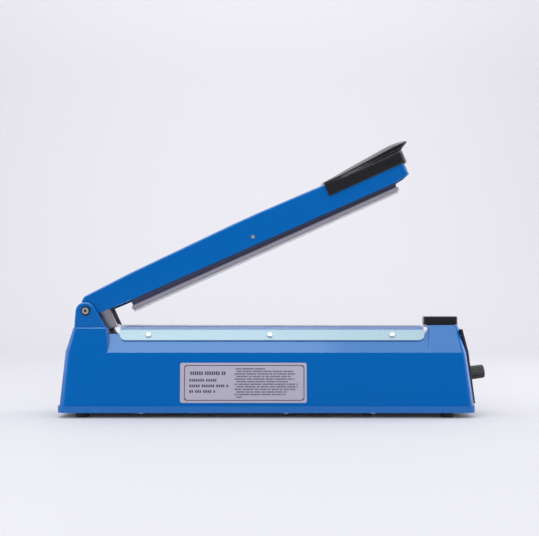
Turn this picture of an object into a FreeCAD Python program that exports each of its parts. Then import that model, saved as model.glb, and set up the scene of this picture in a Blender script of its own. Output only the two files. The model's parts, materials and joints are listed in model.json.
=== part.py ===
import FreeCAD, Part
import math
import os

# Hand impulse heat sealer, 300 mm class, stored with its sealing arm raised.
# Millimetres. +X runs from the hinge end to the timer knob, +Y away from the labelled side,
# +Z up. Z = 0 is the underside of the rubber feet, Y = 0 is the plane of symmetry.
# Inside the arm, u runs along the arm from its heel and w is square to it, upwards.

# ---- driving dimensions -------------------------------------------------------------------
FOOT_H = 5.5                 # rubber foot height
SKIRT_TOP = 12.4             # top of the straight skirt band
SHOULDER_Z = 67.0            # where the side walls turn into the roof
DECK_Z = 93.4                # flat top of the roof, beside the sealing bed
BLOCK_Z = 93.0               # ledge on top of the hinge block
FRONT_Z = 95.0               # top of the front block

SKIRT_HALF = 40.0            # half widths of the housing at each level
LOW_HALF = 39.0
SHOULDER_HALF = 34.0
DECK_HALF = 15.5
LEDGE_HALF = 31.6
FRONT_HALF = 21.5

REAR_LOW, REAR_SHOULDER, REAR_TOP = -224.4, -219.0, -210.9
REAR_SKIRT = -226.0          # the skirt stands out further at the hinge end
END_LOW, END_SHOULDER, END_TOP = 204.4, 197.2, 189.9
BLOCK_LOW_X, BLOCK_TOP_X = -173.0, -175.0      # hinge block, side facing the bed
FRONT_LOW_X, FRONT_TOP_X = 156.0, 160.2        # front block, side facing the bed
BED_REAR_X, BED_FRONT_X = -163.0, 154.0        # sealing bed ends
WALL = 2.5

HINGE_X, HINGE_Z = -197.6, 110.0
ARM_X, ARM_Z = -199.0, 110.0 # zero point of the arm's own measure
ARM_OPEN = 24.2              # arm angle above level as stored, degrees
ARM_HALF = 21.4              # half width of the arm shell
PIVOT_U = (HINGE_X - ARM_X) * math.cos(math.radians(ARM_OPEN))
PIVOT_W = (ARM_X - HINGE_X) * math.sin(math.radians(ARM_OPEN))
EAR_IN, EAR_OUT = 22.4, 28.4 # inner and outer faces of the two hinge ears
PIN_R = 3.3
RUN = 0.06                   # radial running clearance on shafts

JAW_PIN_U, JAW_PIN_W = 190.8, -1.2
JAW_U0, JAW_U1 = 44.0, 351.6
JAW_FACE_W = -20.8           # underside of the silicone strip
COVER_TOP = 95.3             # top of the release cloth

KNOB_Z = 43.0
STRIP_SCREW_X = (-133.0, -6.7, 120.4)
STRIP_LOW_Z, STRIP_TOP_Z = 78.8, 89.3
STRIP_SCREW_UP = 20.5         # from the shoulder, up the roof slope
PAD_SCREW_X = (166.0, 182.0)
FOOT_X = (-201.0, 177.0)
FOOT_Y = 27.0
PLATE_TOP = FOOT_H + 1.6

END_TILT = math.degrees(math.atan2(END_LOW - END_SHOULDER, SHOULDER_Z - SKIRT_TOP))
SIDE_TILT = math.degrees(math.atan2(LOW_HALF - SHOULDER_HALF, SHOULDER_Z - SKIRT_TOP))
ROOF_TILT = math.degrees(math.atan2(DECK_Z - SHOULDER_Z, SHOULDER_HALF - DECK_HALF))

V = FreeCAD.Vector
ORIGIN = V(0, 0, 0)
AXIS_X, AXIS_Y, AXIS_Z = V(1, 0, 0), V(0, 1, 0), V(0, 0, 1)


# ---- small tools --------------------------------------------------------------------------
def block(x0, x1, y0, y1, z0, z1):
    """Axis-aligned block between two corners."""
    return Part.makeBox(x1 - x0, y1 - y0, z1 - z0, V(x0, y0, z0))


def rod(radius, start, end):
    """Cylinder from one point to another."""
    path = V(*end) - V(*start)
    return Part.makeCylinder(radius, path.Length, V(*start), path)


def tube(outer, inner, start, end):
    """Hollow cylinder from one point to another."""
    return rod(outer, start, end).cut(rod(inner, start, end))


def side_prism(points, y0, y1):
    """Polygon in the XZ plane carried along Y."""
    wire = Part.makePolygon([V(x, y0, z) for x, z in points + points[:1]])
    return Part.Face(wire).extrude(V(0, y1 - y0, 0))


def cross_prism(points, x0, x1):
    """Polygon in the YZ plane carried along X."""
    wire = Part.makePolygon([V(x0, y, z) for y, z in points + points[:1]])
    return Part.Face(wire).extrude(V(x1 - x0, 0, 0))


def rounded_rect(x0, x1, half, z, r0, r1):
    """Level rectangle, symmetric about Y = 0, with corner radii r0 at x0 and r1 at x1."""
    corners = [(x0, -half, r0, 180), (x1, -half, r1, 270), (x1, half, r1, 0), (x0, half, r0, 90)]
    arcs = []
    for x, y, r, start in corners:
        cx = x + r if x == x0 else x - r
        cy = y + r if y < 0 else y - r
        angles = [math.radians(start + turn) for turn in (0, 45, 90)]
        on_arc = [V(cx + r * math.cos(a), cy + r * math.sin(a), z) for a in angles]
        arcs.append(on_arc)
    edges = []
    for i, on_arc in enumerate(arcs):
        edges.append(Part.Arc(*on_arc).toShape())
        edges.append(Part.LineSegment(on_arc[2], arcs[(i + 1) % 4][0]).toShape())
    return Part.Wire(edges)


def rise(low, high):
    """Solid with flat top and bottom between two level outlines."""
    return Part.makeLoft([low, high], True, True)


def fuse_all(shapes):
    """One shape from several that touch or overlap."""
    return shapes[0].multiFuse(shapes[1:]).removeSplitter()


def group(shapes):
    """Several separate solids kept together in one node."""
    return Part.makeCompound(shapes)


def in_arm(shape):
    """Carry a shape from arm coordinates (u, y, w) to its stored place."""
    placed = shape.copy()
    placed.rotate(ORIGIN, AXIS_Y, -ARM_OPEN)
    placed.translate(V(ARM_X, 0, ARM_Z))
    return placed


def end_wall_x(z):
    """X of the housing's knob end at a height below the shoulder."""
    return END_LOW - (z - SKIRT_TOP) * math.tan(math.radians(END_TILT))


def on_end(shape, y, z):
    """Carry a shape built along +Z from the origin so that it points out of the knob end."""
    placed = shape.copy()
    placed.rotate(ORIGIN, AXIS_Y, 90 - END_TILT)
    placed.translate(V(end_wall_x(z), y, z))
    return placed


def on_far_wall(shape, x, z):
    """Carry a shape built along +Z so that it points out of the side away from the label."""
    placed = shape.copy()
    placed.rotate(ORIGIN, AXIS_X, SIDE_TILT - 90)
    placed.translate(V(x, LOW_HALF - (z - SKIRT_TOP) * math.tan(math.radians(SIDE_TILT)), z))
    return placed


def on_roof(shape, side):
    """Carry a flat shape (x, up the slope, thickness) on to the near (-1) or far (1) roof."""
    placed = shape.copy()
    placed.rotate(ORIGIN, AXIS_X, ROOF_TILT)
    placed.translate(V(0, -SHOULDER_HALF, SHOULDER_Z))
    return placed if side < 0 else placed.mirror(ORIGIN, AXIS_Y)


def pan_screw(head_r, head_h, shank_r, shank_l):
    """Pan-head screw standing on z = 0 with a cross recess, shank pointing down."""
    head = rod(head_r, (0, 0, 0), (0, 0, head_h))
    head = head.makeFillet(head_h * 0.55, [e for e in head.Edges if e.CenterOfMass.z > head_h * 0.9])
    slot = head_r * 0.62
    width = head_r * 0.13
    for a, b in ((slot, width), (width, slot)):
        head = head.cut(block(-a, a, -b, b, head_h * 0.45, head_h + 1))
    return head.fuse(rod(shank_r, (0, 0, -shank_l), (0, 0, 0)))


def save(name, shape):
    """Write one sub-part."""
    shape.exportStep("parts/" + name + ".step")


# ---- housing ------------------------------------------------------------------------------
def ear(side):
    """Hinge ear: upright plate with a round head, leaning edges and a rounded outer rim."""
    r, head_x, head_z = 10.3, -198.3, 108.8
    inner, outer = EAR_IN * side, EAR_OUT * side
    head = [math.radians(a) for a in (176, 105, 31)]
    on_head = [V(head_x + r * math.cos(a), inner, head_z + r * math.sin(a)) for a in head]
    foot_rear = V(-210.0, inner, BLOCK_Z - 2)
    foot_front = V(-175.9, inner, BLOCK_Z - 2)
    edges = [Part.LineSegment(foot_rear, on_head[0]).toShape(), Part.Arc(*on_head).toShape()]
    for a, b in ((on_head[2], foot_front), (foot_front, foot_rear)):
        edges.append(Part.LineSegment(a, b).toShape())
    plate = Part.Face(Part.Wire(edges)).extrude(V(0, outer - inner, 0))
    rim = [e for e in plate.Edges
           if abs(e.CenterOfMass.y - outer) < 0.01 and e.CenterOfMass.z > BLOCK_Z]
    return plate.makeFillet(1.9, rim)


def housing_outside():
    """Solid outer form of the moulded housing."""
    skirt = rise(rounded_rect(REAR_SKIRT, END_LOW + 0.6, SKIRT_HALF, FOOT_H, 10, 10),
                 rounded_rect(REAR_SKIRT, END_LOW + 0.6, SKIRT_HALF, SKIRT_TOP, 10, 10))
    lower = rise(rounded_rect(REAR_LOW, END_LOW, LOW_HALF, SKIRT_TOP, 10, 10),
                 rounded_rect(REAR_SHOULDER, END_SHOULDER, SHOULDER_HALF, SHOULDER_Z, 9, 9))
    roof = cross_prism([(-SHOULDER_HALF, SHOULDER_Z), (SHOULDER_HALF, SHOULDER_Z),
                        (DECK_HALF, DECK_Z), (-DECK_HALF, DECK_Z)], -190, 175)
    hinge = rise(rounded_rect(REAR_SHOULDER, BLOCK_LOW_X, SHOULDER_HALF, SHOULDER_Z, 9, 3),
                 rounded_rect(REAR_TOP, BLOCK_TOP_X, LEDGE_HALF, BLOCK_Z, 7, 3))
    hinge = hinge.makeFillet(1.6, [e for e in hinge.Edges if e.CenterOfMass.z > BLOCK_Z - 0.1])
    front = rise(rounded_rect(FRONT_LOW_X, END_SHOULDER, SHOULDER_HALF, SHOULDER_Z, 1.2, 9),
                 rounded_rect(FRONT_TOP_X, END_TOP, FRONT_HALF, FRONT_Z, 1.2, 5))
    front = front.makeFillet(0.9, [e for e in front.Edges if e.CenterOfMass.z > FRONT_Z - 0.1])
    return fuse_all([skirt, lower, roof, hinge, front, ear(-1), ear(1)])


def housing_inside():
    """Hollow of the housing, open at the bottom."""
    t = WALL
    low = rise(rounded_rect(REAR_LOW + 2, END_LOW - 2, SKIRT_HALF - 2.4, FOOT_H - 1, 8, 8),
               rounded_rect(REAR_LOW + 2, END_LOW - 2, SKIRT_HALF - 2.4, SKIRT_TOP - 2, 8, 8))
    main = rise(rounded_rect(REAR_LOW + t, END_LOW - t, LOW_HALF - t, SKIRT_TOP - 2.1, 7, 7),
                rounded_rect(REAR_SHOULDER + t, END_SHOULDER - t, SHOULDER_HALF - t,
                             SHOULDER_Z - 1.2, 6, 6))
    ceiling = DECK_Z - 8
    roof = cross_prism([(-30.8, SHOULDER_Z - 1.3), (30.8, SHOULDER_Z - 1.3),
                        (17.6, ceiling), (-17.6, ceiling)], -190, 170)
    hinge = rise(rounded_rect(REAR_SHOULDER + t, BLOCK_LOW_X - t, SHOULDER_HALF - t,
                              SHOULDER_Z - 1.3, 6, 1),
                 rounded_rect(REAR_TOP + t, BLOCK_TOP_X - t, LEDGE_HALF - t, BLOCK_Z - 2.8, 4, 1))
    front = rise(rounded_rect(FRONT_LOW_X + 3, END_SHOULDER - t, SHOULDER_HALF - 3.2,
                              SHOULDER_Z - 1.3, 1, 6),
                 rounded_rect(FRONT_TOP_X + t, END_TOP - t, FRONT_HALF - t, FRONT_Z - 3, 1, 3))
    return fuse_all([low, main, roof, hinge, front])


def plate_boss_places():
    """Where the base plate screws go."""
    return [(x, y) for x in (-140.0, 10.0, 100.0) for y in (-31.0, 31.0)]


def foot_places():
    """Where the feet go."""
    return [(x, y) for x in FOOT_X for y in (-FOOT_Y, FOOT_Y)]


def base_housing():
    """Moulded housing: hollow shell with hinge ears, bed groove, bracket well and bosses."""
    shell = housing_outside().cut(housing_inside())
    bosses = []
    for x, y in plate_boss_places():
        bosses.append(rod(4.2, (x, y, PLATE_TOP), (x, y, 40)))
    for x, y in foot_places():
        bosses.append(rod(4.6, (x, y, PLATE_TOP), (x, y, 30)))
        rib = sorted((y, math.copysign(35.5, y)))
        bosses.append(block(x - 1.2, x + 1.2, rib[0], rib[1], PLATE_TOP, 30))
    bosses.append(side_prism([(-220.6, 42), (-198.0, 42), (-198.0, 72), (-215.6, 72),
                              (-217.6, 66)], 18.2, 20.2))         # wall that holds the switch
    shell = fuse_all([shell] + bosses)
    cuts = [block(-205.0, BED_REAR_X, -20.7, 20.7, 62, 100),      # well for the lift bracket
            block(-158.2, 152.2, -9.2, 9.2, 88.2, 97),            # groove for the bed bar
            block(-161.3, -158.2, -4, 4, 80, 97),                 # slots for the element ends
            block(152.2, 155.3, -4, 4, 80, 97),
            rod(5.0, (HINGE_X, -30, HINGE_Z), (HINGE_X, 30, HINGE_Z)),
            on_far_wall(rod(6.0, (0, 0, -6), (0, 0, 3)), -185.0, 30.0),
            on_end(rod(3.5, (0, 0, -5), (0, 0, 5)), 0, KNOB_Z),
            on_end(rod(3.6, (0, 0, -5), (0, 0, 5)), 0, 60.0)]
    for x, y in plate_boss_places() + foot_places():
        cuts.append(rod(1.5, (x, y, 0), (x, y, 25)))
    for x in STRIP_SCREW_X:
        for side in (-1, 1):
            cuts.append(on_roof(rod(1.5, (x, STRIP_SCREW_UP, -6), (x, STRIP_SCREW_UP, 2)), side))
    for x in PAD_SCREW_X:
        cuts.append(rod(1.6, (x, 0, 80), (x, 0, 97)))
    for x in (-120.0, 0.0, 120.0):
        cuts.append(rod(1.6, (x, 0, 80), (x, 0, 90)))
    for y, z in panel_screw_places():
        cuts.append(panel_place(rod(1.4, (0, 0, -7), (0, 0, 2)), y, z))
    for z in (52.0, 64.0):
        cuts.append(rod(1.1, (-203.0, 17, z), (-203.0, 21, z)))
    for c in cuts:
        shell = shell.cut(c)
    return shell


def base_plate():
    """Flat steel bottom cover inside the skirt."""
    outline = rounded_rect(REAR_LOW + 2.4, END_LOW - 2.4, SKIRT_HALF - 2.8, FOOT_H, 7.5, 7.5)
    plate = Part.Face(outline).extrude(V(0, 0, PLATE_TOP - FOOT_H))
    for x, y in plate_boss_places() + foot_places():
        plate = plate.cut(rod(1.6, (x, y, 0), (x, y, 10)))
    for x in range(-100, 80, 15):
        plate = plate.cut(block(x, x + 3, -12, 12, 0, 10))        # cooling slots
    return plate


def foot(x, y):
    """Round rubber foot, slightly tapered, with a recess for its screw."""
    body = Part.makeCone(6.3, 6.9, FOOT_H, V(x, y, 0), AXIS_Z)
    body = body.cut(rod(3.4, (x, y, -1), (x, y, 2.6)))
    return body.cut(rod(1.6, (x, y, 0), (x, y, 10)))


def up_screw(x, y, z, head_r, head_h, shank_r, shank_l):
    """Screw driven upwards, its head's top face against height z."""
    screw = pan_screw(head_r, head_h, shank_r, shank_l)
    screw.rotate(ORIGIN, AXIS_X, 180)
    screw.translate(V(x, y, z))
    return screw


# ---- sealing bed --------------------------------------------------------------------------
def bed_bar():
    """Aluminium bar that carries the heating element."""
    bar = block(-158.0, 152.0, -9, 9, 88.2, 94.75)
    for x in (-120.0, 0.0, 120.0):
        bar = bar.cut(rod(1.6, (x, 0, 80), (x, 0, 99)))
        bar = bar.cut(rod(3.1, (x, 0, 92.6), (x, 0, 99)))
    return bar


def bed_screws():
    """Screws that hold the bed bar down, heads sunk under the insulation."""
    screws = []
    for x in (-120.0, 0.0, 120.0):
        screw = pan_screw(3.0, 1.9, 1.55, 9.5)
        screw.translate(V(x, 0, 92.6))
        screws.append(screw)
    return group(screws)


def insulation_strip():
    """Glass cloth tape under the element."""
    return block(-157.5, 151.5, -7, 7, 94.75, 94.95)


def heating_element():
    """Flat resistance ribbon with both ends turned down to the terminals."""
    half, t = 1.5, 0.13
    flat = block(-159.6, 153.6, -half, half, 94.95, 94.95 + t)
    parts = [flat]
    for x in (-159.6, 153.6 - t):
        parts.append(block(x, x + t, -half, half, 84.0, 94.95 + t))
        eye = block(x, x + t, -4, 4, 76.4, 84.6)
        parts.append(eye.cut(rod(1.6, (x - 1, 0, 80.5), (x + 1, 0, 80.5))))
    return fuse_all(parts)


def ptfe_cover():
    """Release cloth stretched over the bed and down both roof slopes, under the strips."""
    up = math.radians(ROOF_TILT)
    slope = V(0, math.cos(up), math.sin(up))
    out = V(0, -math.sin(up), math.cos(up))
    foot_at = V(0, -SHOULDER_HALF, SHOULDER_Z) + slope * 17.0
    inner = [foot_at + out * 0.08, V(0, -DECK_HALF, DECK_Z) + out * 0.08,
             V(0, -9.3, COVER_TOP - 0.2)]
    outer = [foot_at + out * 0.28, V(0, -DECK_HALF, DECK_Z) + out * 0.28,
             V(0, -9.34, COVER_TOP)]
    near_in = [(p.y, p.z) for p in inner]
    near_out = [(p.y, p.z) for p in outer]
    far_in = [(-y, z) for y, z in reversed(near_in)]
    far_out = [(-y, z) for y, z in reversed(near_out)]
    outline = near_in + far_in + list(reversed(far_out)) + list(reversed(near_out))
    cloth = cross_prism(outline, BED_REAR_X, 153.2)
    for x in STRIP_SCREW_X:
        for side in (-1, 1):
            hole = rod(1.6, (x, STRIP_SCREW_UP, -1), (x, STRIP_SCREW_UP, 2))
            cloth = cloth.cut(on_roof(hole, side))
    return cloth


def cover_strip(side):
    """Aluminium strip that clamps the release cloth to the roof slope."""
    up = (STRIP_LOW_Z - SHOULDER_Z) / math.sin(math.radians(ROOF_TILT))
    top = (STRIP_TOP_Z - SHOULDER_Z) / math.sin(math.radians(ROOF_TILT))
    plate = block(BED_REAR_X, BED_FRONT_X, up, top, 0.36, 1.56)
    low_corners = [e for e in plate.Edges if abs(e.CenterOfMass.z - 0.96) < 0.01
                   and abs(e.CenterOfMass.y - up) < 0.01]
    plate = plate.makeFillet(6.5, low_corners)
    high_corners = [e for e in plate.Edges if abs(e.CenterOfMass.z - 0.96) < 0.01
                    and abs(e.CenterOfMass.y - top) < 0.01 and e.Length < 2]
    plate = plate.makeFillet(2.0, high_corners)
    for x in STRIP_SCREW_X:
        plate = plate.cut(rod(1.7, (x, STRIP_SCREW_UP, -1), (x, STRIP_SCREW_UP, 4)))
    return on_roof(plate, side)


def cover_strip_screws():
    """Three pan-head screws through each strip."""
    screws = []
    for side in (-1, 1):
        for x in STRIP_SCREW_X:
            screw = pan_screw(2.9, 2.0, 1.45, 6.0)
            screw.translate(V(x, STRIP_SCREW_UP, 1.56))
            screws.append(on_roof(screw, side))
    return group(screws)


def terminal_block(side):
    """Insulating block under the deck that an element end is clamped to."""
    face = -159.6 + 0.15 if side < 0 else 153.6 - 0.15
    x0, x1 = (face, face + 13) if side < 0 else (face - 13, face)
    body = block(x0, x1, -8, 8, 75.4, DECK_Z - 8)
    body = body.cut(rod(1.6, (face - 9, 0, 80.5), (face + 9, 0, 80.5)))
    return body.makeChamfer(0.8, [e for e in body.Edges
                                  if e.Length > 11 and e.CenterOfMass.z < 75.5])


def terminal_screws():
    """One clamp screw at each end of the element."""
    screws = []
    for x, turn in ((-159.6, -90), (153.6, 90)):
        screw = pan_screw(3.2, 2.0, 1.55, 7.0)
        screw.rotate(ORIGIN, AXIS_Y, turn)
        screw.translate(V(x, 0, 80.5))
        screws.append(screw)
    return group(screws)


def grip_pad():
    """Narrow raised pad on the front block that stops the arm's tip."""
    x0, x1, half, top = 156.3, 192.4, 6.0, 104.0
    pad = rise(rounded_rect(x0, x1, half, FRONT_Z + 0.1, 2.2, 2.6),
               rounded_rect(x0 + 0.2, x1 - 0.2, half - 0.2, top, 2.2, 2.6))
    pad = pad.makeFillet(1.0, [e for e in pad.Edges if e.CenterOfMass.z > top - 0.1])
    for x in PAD_SCREW_X:
        pad = pad.cut(rod(1.6, (x, 0, 90), (x, 0, 110)))
        pad = pad.cut(rod(3.2, (x, 0, top - 2.4), (x, 0, 110)))
    return pad


def grip_pad_screws():
    """Two sunk screws that hold the pad."""
    screws = []
    for x in PAD_SCREW_X:
        screw = pan_screw(2.9, 1.8, 1.55, 13.0)
        screw.translate(V(x, 0, 101.6))
        screws.append(screw)
    return group(screws)


# ---- hinge --------------------------------------------------------------------------------
def pivot_pin():
    """Hollow steel pin through both ears and the arm."""
    return tube(PIN_R, 1.7, (HINGE_X, -31.0, HINGE_Z), (HINGE_X, 31.0, HINGE_Z))


def pivot_bush(side):
    """Black bush pressed into an ear."""
    sleeve = tube(5.0, PIN_R + 0.02, (HINGE_X, EAR_IN * side, HINGE_Z),
                  (HINGE_X, (EAR_OUT + 0.5) * side, HINGE_Z))
    return sleeve


def pivot_washers():
    """Thin washers between the arm and the ears."""
    rings = []
    for side in (-1, 1):
        rings.append(tube(6.4, PIN_R + 0.02, (HINGE_X, (ARM_HALF + 0.15) * side, HINGE_Z),
                          (HINGE_X, (EAR_IN - 0.05) * side, HINGE_Z)))
    return group(rings)


def spring_seat():
    """Folded steel stand on the base plate, with a round boss that centres the spring."""
    top = block(-190.0, -163.0, -12, 12, 48.5, 50.0)
    legs = [block(x, x + 1.5, -12, 12, PLATE_TOP, 50.0) for x in (-190.0, -164.5)]
    return fuse_all([top] + legs + [rod(3.9, (-176.5, 0, 49.0), (-176.5, 0, 54.0))])


def return_spring():
    """Closed tube in the place of the compression spring that lifts the arm."""
    return tube(6.0, 4.7, (-176.3, 0, 51.0), (-173.7, 0, 88.3))


# ---- electrics ----------------------------------------------------------------------------
CORE = (-38.0, 28.0, 15.0, PLATE_TOP + 0.1, 62.2)    # x0, x1, half depth, z0, z1
LEG = (-16.0, 6.0)


def transformer_core():
    """Laminated core with two windows."""
    x0, x1, half, z0, z1 = CORE
    core = block(x0, x1, -half, half, z0, z1)
    core = core.cut(block(x0 + 11, LEG[0], -half - 1, half + 1, 18.2, 51.2))
    return core.cut(block(LEG[1], x1 - 11, -half - 1, half + 1, 18.2, 51.2))


def transformer_bobbin():
    """Flanged former round the middle leg."""
    inner = block(LEG[0] - 0.1, LEG[1] + 0.1, -15.2, 15.2, 18.0, 51.4)
    tube_part = block(LEG[0] - 1.4, LEG[1] + 1.4, -16.6, 16.6, 18.4, 51.0)
    flanges = [block(LEG[0] - 10.6, LEG[1] + 10.6, -26, 26, z, z + 1.3) for z in (18.4, 49.7)]
    return fuse_all([tube_part] + flanges).cut(inner)


def transformer_coil():
    """Taped winding with rounded corners."""
    outer = block(LEG[0] - 10.2, LEG[1] + 10.2, -25, 25, 19.8, 49.6)
    outer = outer.makeFillet(5, [e for e in outer.Edges if e.Length > 29 and e.Length < 31])
    return outer.cut(block(LEG[0] - 1.5, LEG[1] + 1.5, -16.7, 16.7, 18, 52))


def transformer_frame():
    """Steel strap over the core with two screwed feet."""
    x0, x1, half, z0, z1 = CORE
    t, wide = 1.2, 11.0
    top = block(x0 - 0.1 - t, x1 + 0.1 + t, -wide, wide, z1 + 0.1, z1 + 0.1 + t)
    sides = [block(x, x + t, -wide, wide, PLATE_TOP, z1 + 0.5) for x in (x0 - 0.1 - t, x1 + 0.1)]
    feet = [block(x0 - 14, x0 - 0.2, -wide, wide, PLATE_TOP, PLATE_TOP + t),
            block(x1 + 0.2, x1 + 14, -wide, wide, PLATE_TOP, PLATE_TOP + t)]
    frame = fuse_all([top] + sides + feet)
    for x in (x0 - 8, x1 + 8):
        frame = frame.cut(rod(1.8, (x, 0, 0), (x, 0, 12)))
    return frame


def transformer_screws():
    """Two screws through the strap's feet."""
    screws = []
    for x in (CORE[0] - 8, CORE[1] + 8):
        screw = pan_screw(3.3, 2.2, 1.7, 1.1)
        screw.translate(V(x, 0, PLATE_TOP + 1.2))
        screws.append(screw)
    return group(screws)


BOARD = (86.0, 164.0, 26.0, 16.0)                    # x0, x1, half width, underside height


def board_corners():
    """Where the board's pillars stand."""
    x0, x1, half, z = BOARD
    return [(x, y) for x in (x0 + 5, x1 - 5) for y in (-half + 5, half - 5)]


def timer_board():
    """Circuit board of the impulse timer."""
    x0, x1, half, z = BOARD
    board = block(x0, x1, -half, half, z, z + 1.6)
    for x, y in board_corners():
        board = board.cut(rod(1.6, (x, y, z - 1), (x, y, z + 3)))
    return board


def board_pillars():
    """Four pillars with their screws' heads above the board."""
    z = BOARD[3]
    pillars = []
    for x, y in board_corners():
        post = rod(3.0, (x, y, PLATE_TOP), (x, y, z))
        stud = rod(1.5, (x, y, z), (x, y, z + 1.6))
        cap = rod(2.8, (x, y, z + 1.6), (x, y, z + 3.4))
        pillars.append(fuse_all([post, stud, cap]))
    return group(pillars)


def relay():
    """Relay cube on the board."""
    cube = block(96, 115, -18, -2, BOARD[3] + 1.6, BOARD[3] + 17)
    return cube.makeFillet(0.8, [e for e in cube.Edges if e.CenterOfMass.z > BOARD[3] + 2])


def capacitor():
    """Timing capacitor with a scored top."""
    z = BOARD[3] + 1.6
    can = rod(6.5, (132, -8, z), (132, -8, z + 22))
    can = can.makeFillet(0.8, [e for e in can.Edges if e.CenterOfMass.z > z + 21])
    return can.cut(block(127, 137, -8.3, -7.7, z + 21.6, z + 23))


def fuse_block():
    """Closed fuse carrier on the board."""
    z = BOARD[3] + 1.6
    base = block(98, 128, 8, 18, z, z + 5)
    return base.fuse(rod(4.2, (99, 13, z + 7), (127, 13, z + 7)))


def potentiometer_body():
    """Timer control behind the end wall, with its threaded neck through wall and panel."""
    can = rod(8.2, (0, 0, -12.5), (0, 0, -2.95))
    neck = rod(3.4, (0, 0, -3.5), (0, 0, 6.2))
    tags = [block(-10.5, -6.5, y - 0.6, y + 0.6, -6.5, -5.9) for y in (-4, 0, 4)]
    body = fuse_all([can, neck] + tags)
    return on_end(body.cut(rod(3.0 + RUN, (0, 0, -9), (0, 0, 7))), 0, KNOB_Z)


def potentiometer_nut():
    """Hexagon nut that holds the control to the panel."""
    corners = [V(5.6 * math.cos(math.radians(60 * i)), 5.6 * math.sin(math.radians(60 * i)), 2.4)
               for i in range(6)]
    nut = Part.Face(Part.makePolygon(corners + corners[:1])).extrude(V(0, 0, 2.2))
    return on_end(nut.cut(rod(3.42, (0, 0, 0), (0, 0, 6))), 0, KNOB_Z)


def potentiometer_shaft():
    """Turning shaft of the timer control."""
    return on_end(rod(3.0, (0, 0, -8.5), (0, 0, 18.0)), 0, KNOB_Z)


def timer_knob():
    """Fluted knob, hollow over the nut, with a pointer groove."""
    length, r = 20.6, 7.3
    knob = rod(r, (0, 0, 3.0), (0, 0, length))
    knob = knob.makeFillet(1.1, [e for e in knob.Edges if e.CenterOfMass.z > length - 0.1])
    knob = knob.cut(rod(6.2, (0, 0, 2), (0, 0, 7.0)))
    knob = knob.cut(rod(3.0, (0, 0, 2), (0, 0, 18.0)))
    for i in range(20):
        a = math.radians(18 * i)
        x, y = (r + 0.25) * math.cos(a), (r + 0.25) * math.sin(a)
        knob = knob.cut(rod(0.75, (x, y, 4.6), (x, y, length + 1)))
    return on_end(knob.cut(block(-6.2, -1.5, -0.5, 0.5, length - 0.6, length + 1)), 0, KNOB_Z)


def panel_outline(inset, thick):
    """Cross-section of the folded panel plate, as (x, z) points."""
    low = (end_wall_x(13.6), 13.6)
    fold = (END_SHOULDER, SHOULDER_Z)
    top_z = 90.4
    run = (END_TOP - END_SHOULDER) * (top_z - SHOULDER_Z) / (FRONT_Z - SHOULDER_Z)
    top = (END_SHOULDER + run, top_z)
    a1 = math.radians(END_TILT)
    a2 = math.atan2(END_SHOULDER - END_TOP, FRONT_Z - SHOULDER_Z)
    mid = (a1 + a2) / 2
    points = []
    for (x, z), a in ((low, a1), (fold, mid), (top, a2)):
        points.append(((x + inset * math.cos(a), z + inset * math.sin(a)),
                       (x + thick * math.cos(a), z + thick * math.sin(a))))
    return [p[0] for p in points] + [p[1] for p in reversed(points)]


def panel_screw_places():
    """Corners of the panel, as (y, z)."""
    return [(y, z) for z in (20.0, 84.0) for y in (-20.0, 20.0)]


def panel_place(shape, y, z):
    """Carry a shape built along +Z on to the panel's lower or upper facet."""
    if z < SHOULDER_Z:
        return on_end(shape, y, z)
    a = math.degrees(math.atan2(END_SHOULDER - END_TOP, FRONT_Z - SHOULDER_Z))
    x = END_SHOULDER - (z - SHOULDER_Z) * math.tan(math.radians(a))
    placed = shape.copy()
    placed.rotate(ORIGIN, AXIS_Y, 90 - a)
    placed.translate(V(x, y, z))
    return placed


def front_panel():
    """Folded control panel plate on the knob end."""
    plate = side_prism(panel_outline(0.05, 2.25), -26, 26)
    plate = plate.cut(on_end(rod(3.5, (0, 0, -5), (0, 0, 5)), 0, KNOB_Z))
    plate = plate.cut(on_end(rod(3.6, (0, 0, -5), (0, 0, 5)), 0, 60.0))
    for y, z in panel_screw_places():
        plate = plate.cut(panel_place(rod(1.5, (0, 0, -3), (0, 0, 5)), y, z))
    return plate


def front_panel_screws():
    """Four small screws at the panel's corners."""
    screws = []
    for y, z in panel_screw_places():
        screw = pan_screw(2.6, 1.3, 1.35, 6.5)
        screw.translate(V(0, 0, 2.3))
        screws.append(panel_place(screw, y, z))
    return group(screws)


def indicator_lamp():
    """Lamp body behind the wall with a lens that shows through the panel."""
    lens = rod(3.5, (0, 0, -3.5), (0, 0, 2.9))
    lens = lens.makeFillet(0.5, [e for e in lens.Edges if e.CenterOfMass.z > 2.8])
    body = rod(4.6, (0, 0, -12), (0, 0, -2.95))
    return on_end(lens.fuse(body), 0, 60.0)


def microswitch_body():
    """Small snap switch on the wall inside the hinge block."""
    body = block(-208.0, -198.2, 11.6, 18.1, 48, 68)
    for z in (52.0, 64.0):
        body = body.cut(rod(1.2, (-203.0, 10, z), (-203.0, 20, z)))
    button = rod(1.0, (-198.4, 14.8, 61.5), (-197.6, 14.8, 61.5))
    tags = [block(-211.5, -208.0, 14.4, 15.2, z, z + 3) for z in (50.0, 57.0, 64.0)]
    return fuse_all([body, button] + tags)


def switch_screws():
    """Two screws through the switch into the wall."""
    screws = []
    for z in (52.0, 64.0):
        screw = pan_screw(2.0, 1.2, 1.05, 8.4)
        screw.rotate(ORIGIN, AXIS_X, 90)
        screw.translate(V(-203.0, 11.6, z))
        screws.append(screw)
    return group(screws)


LEVER_X, LEVER_Z = -197.3, 49.6                      # switch lever pivot


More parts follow.
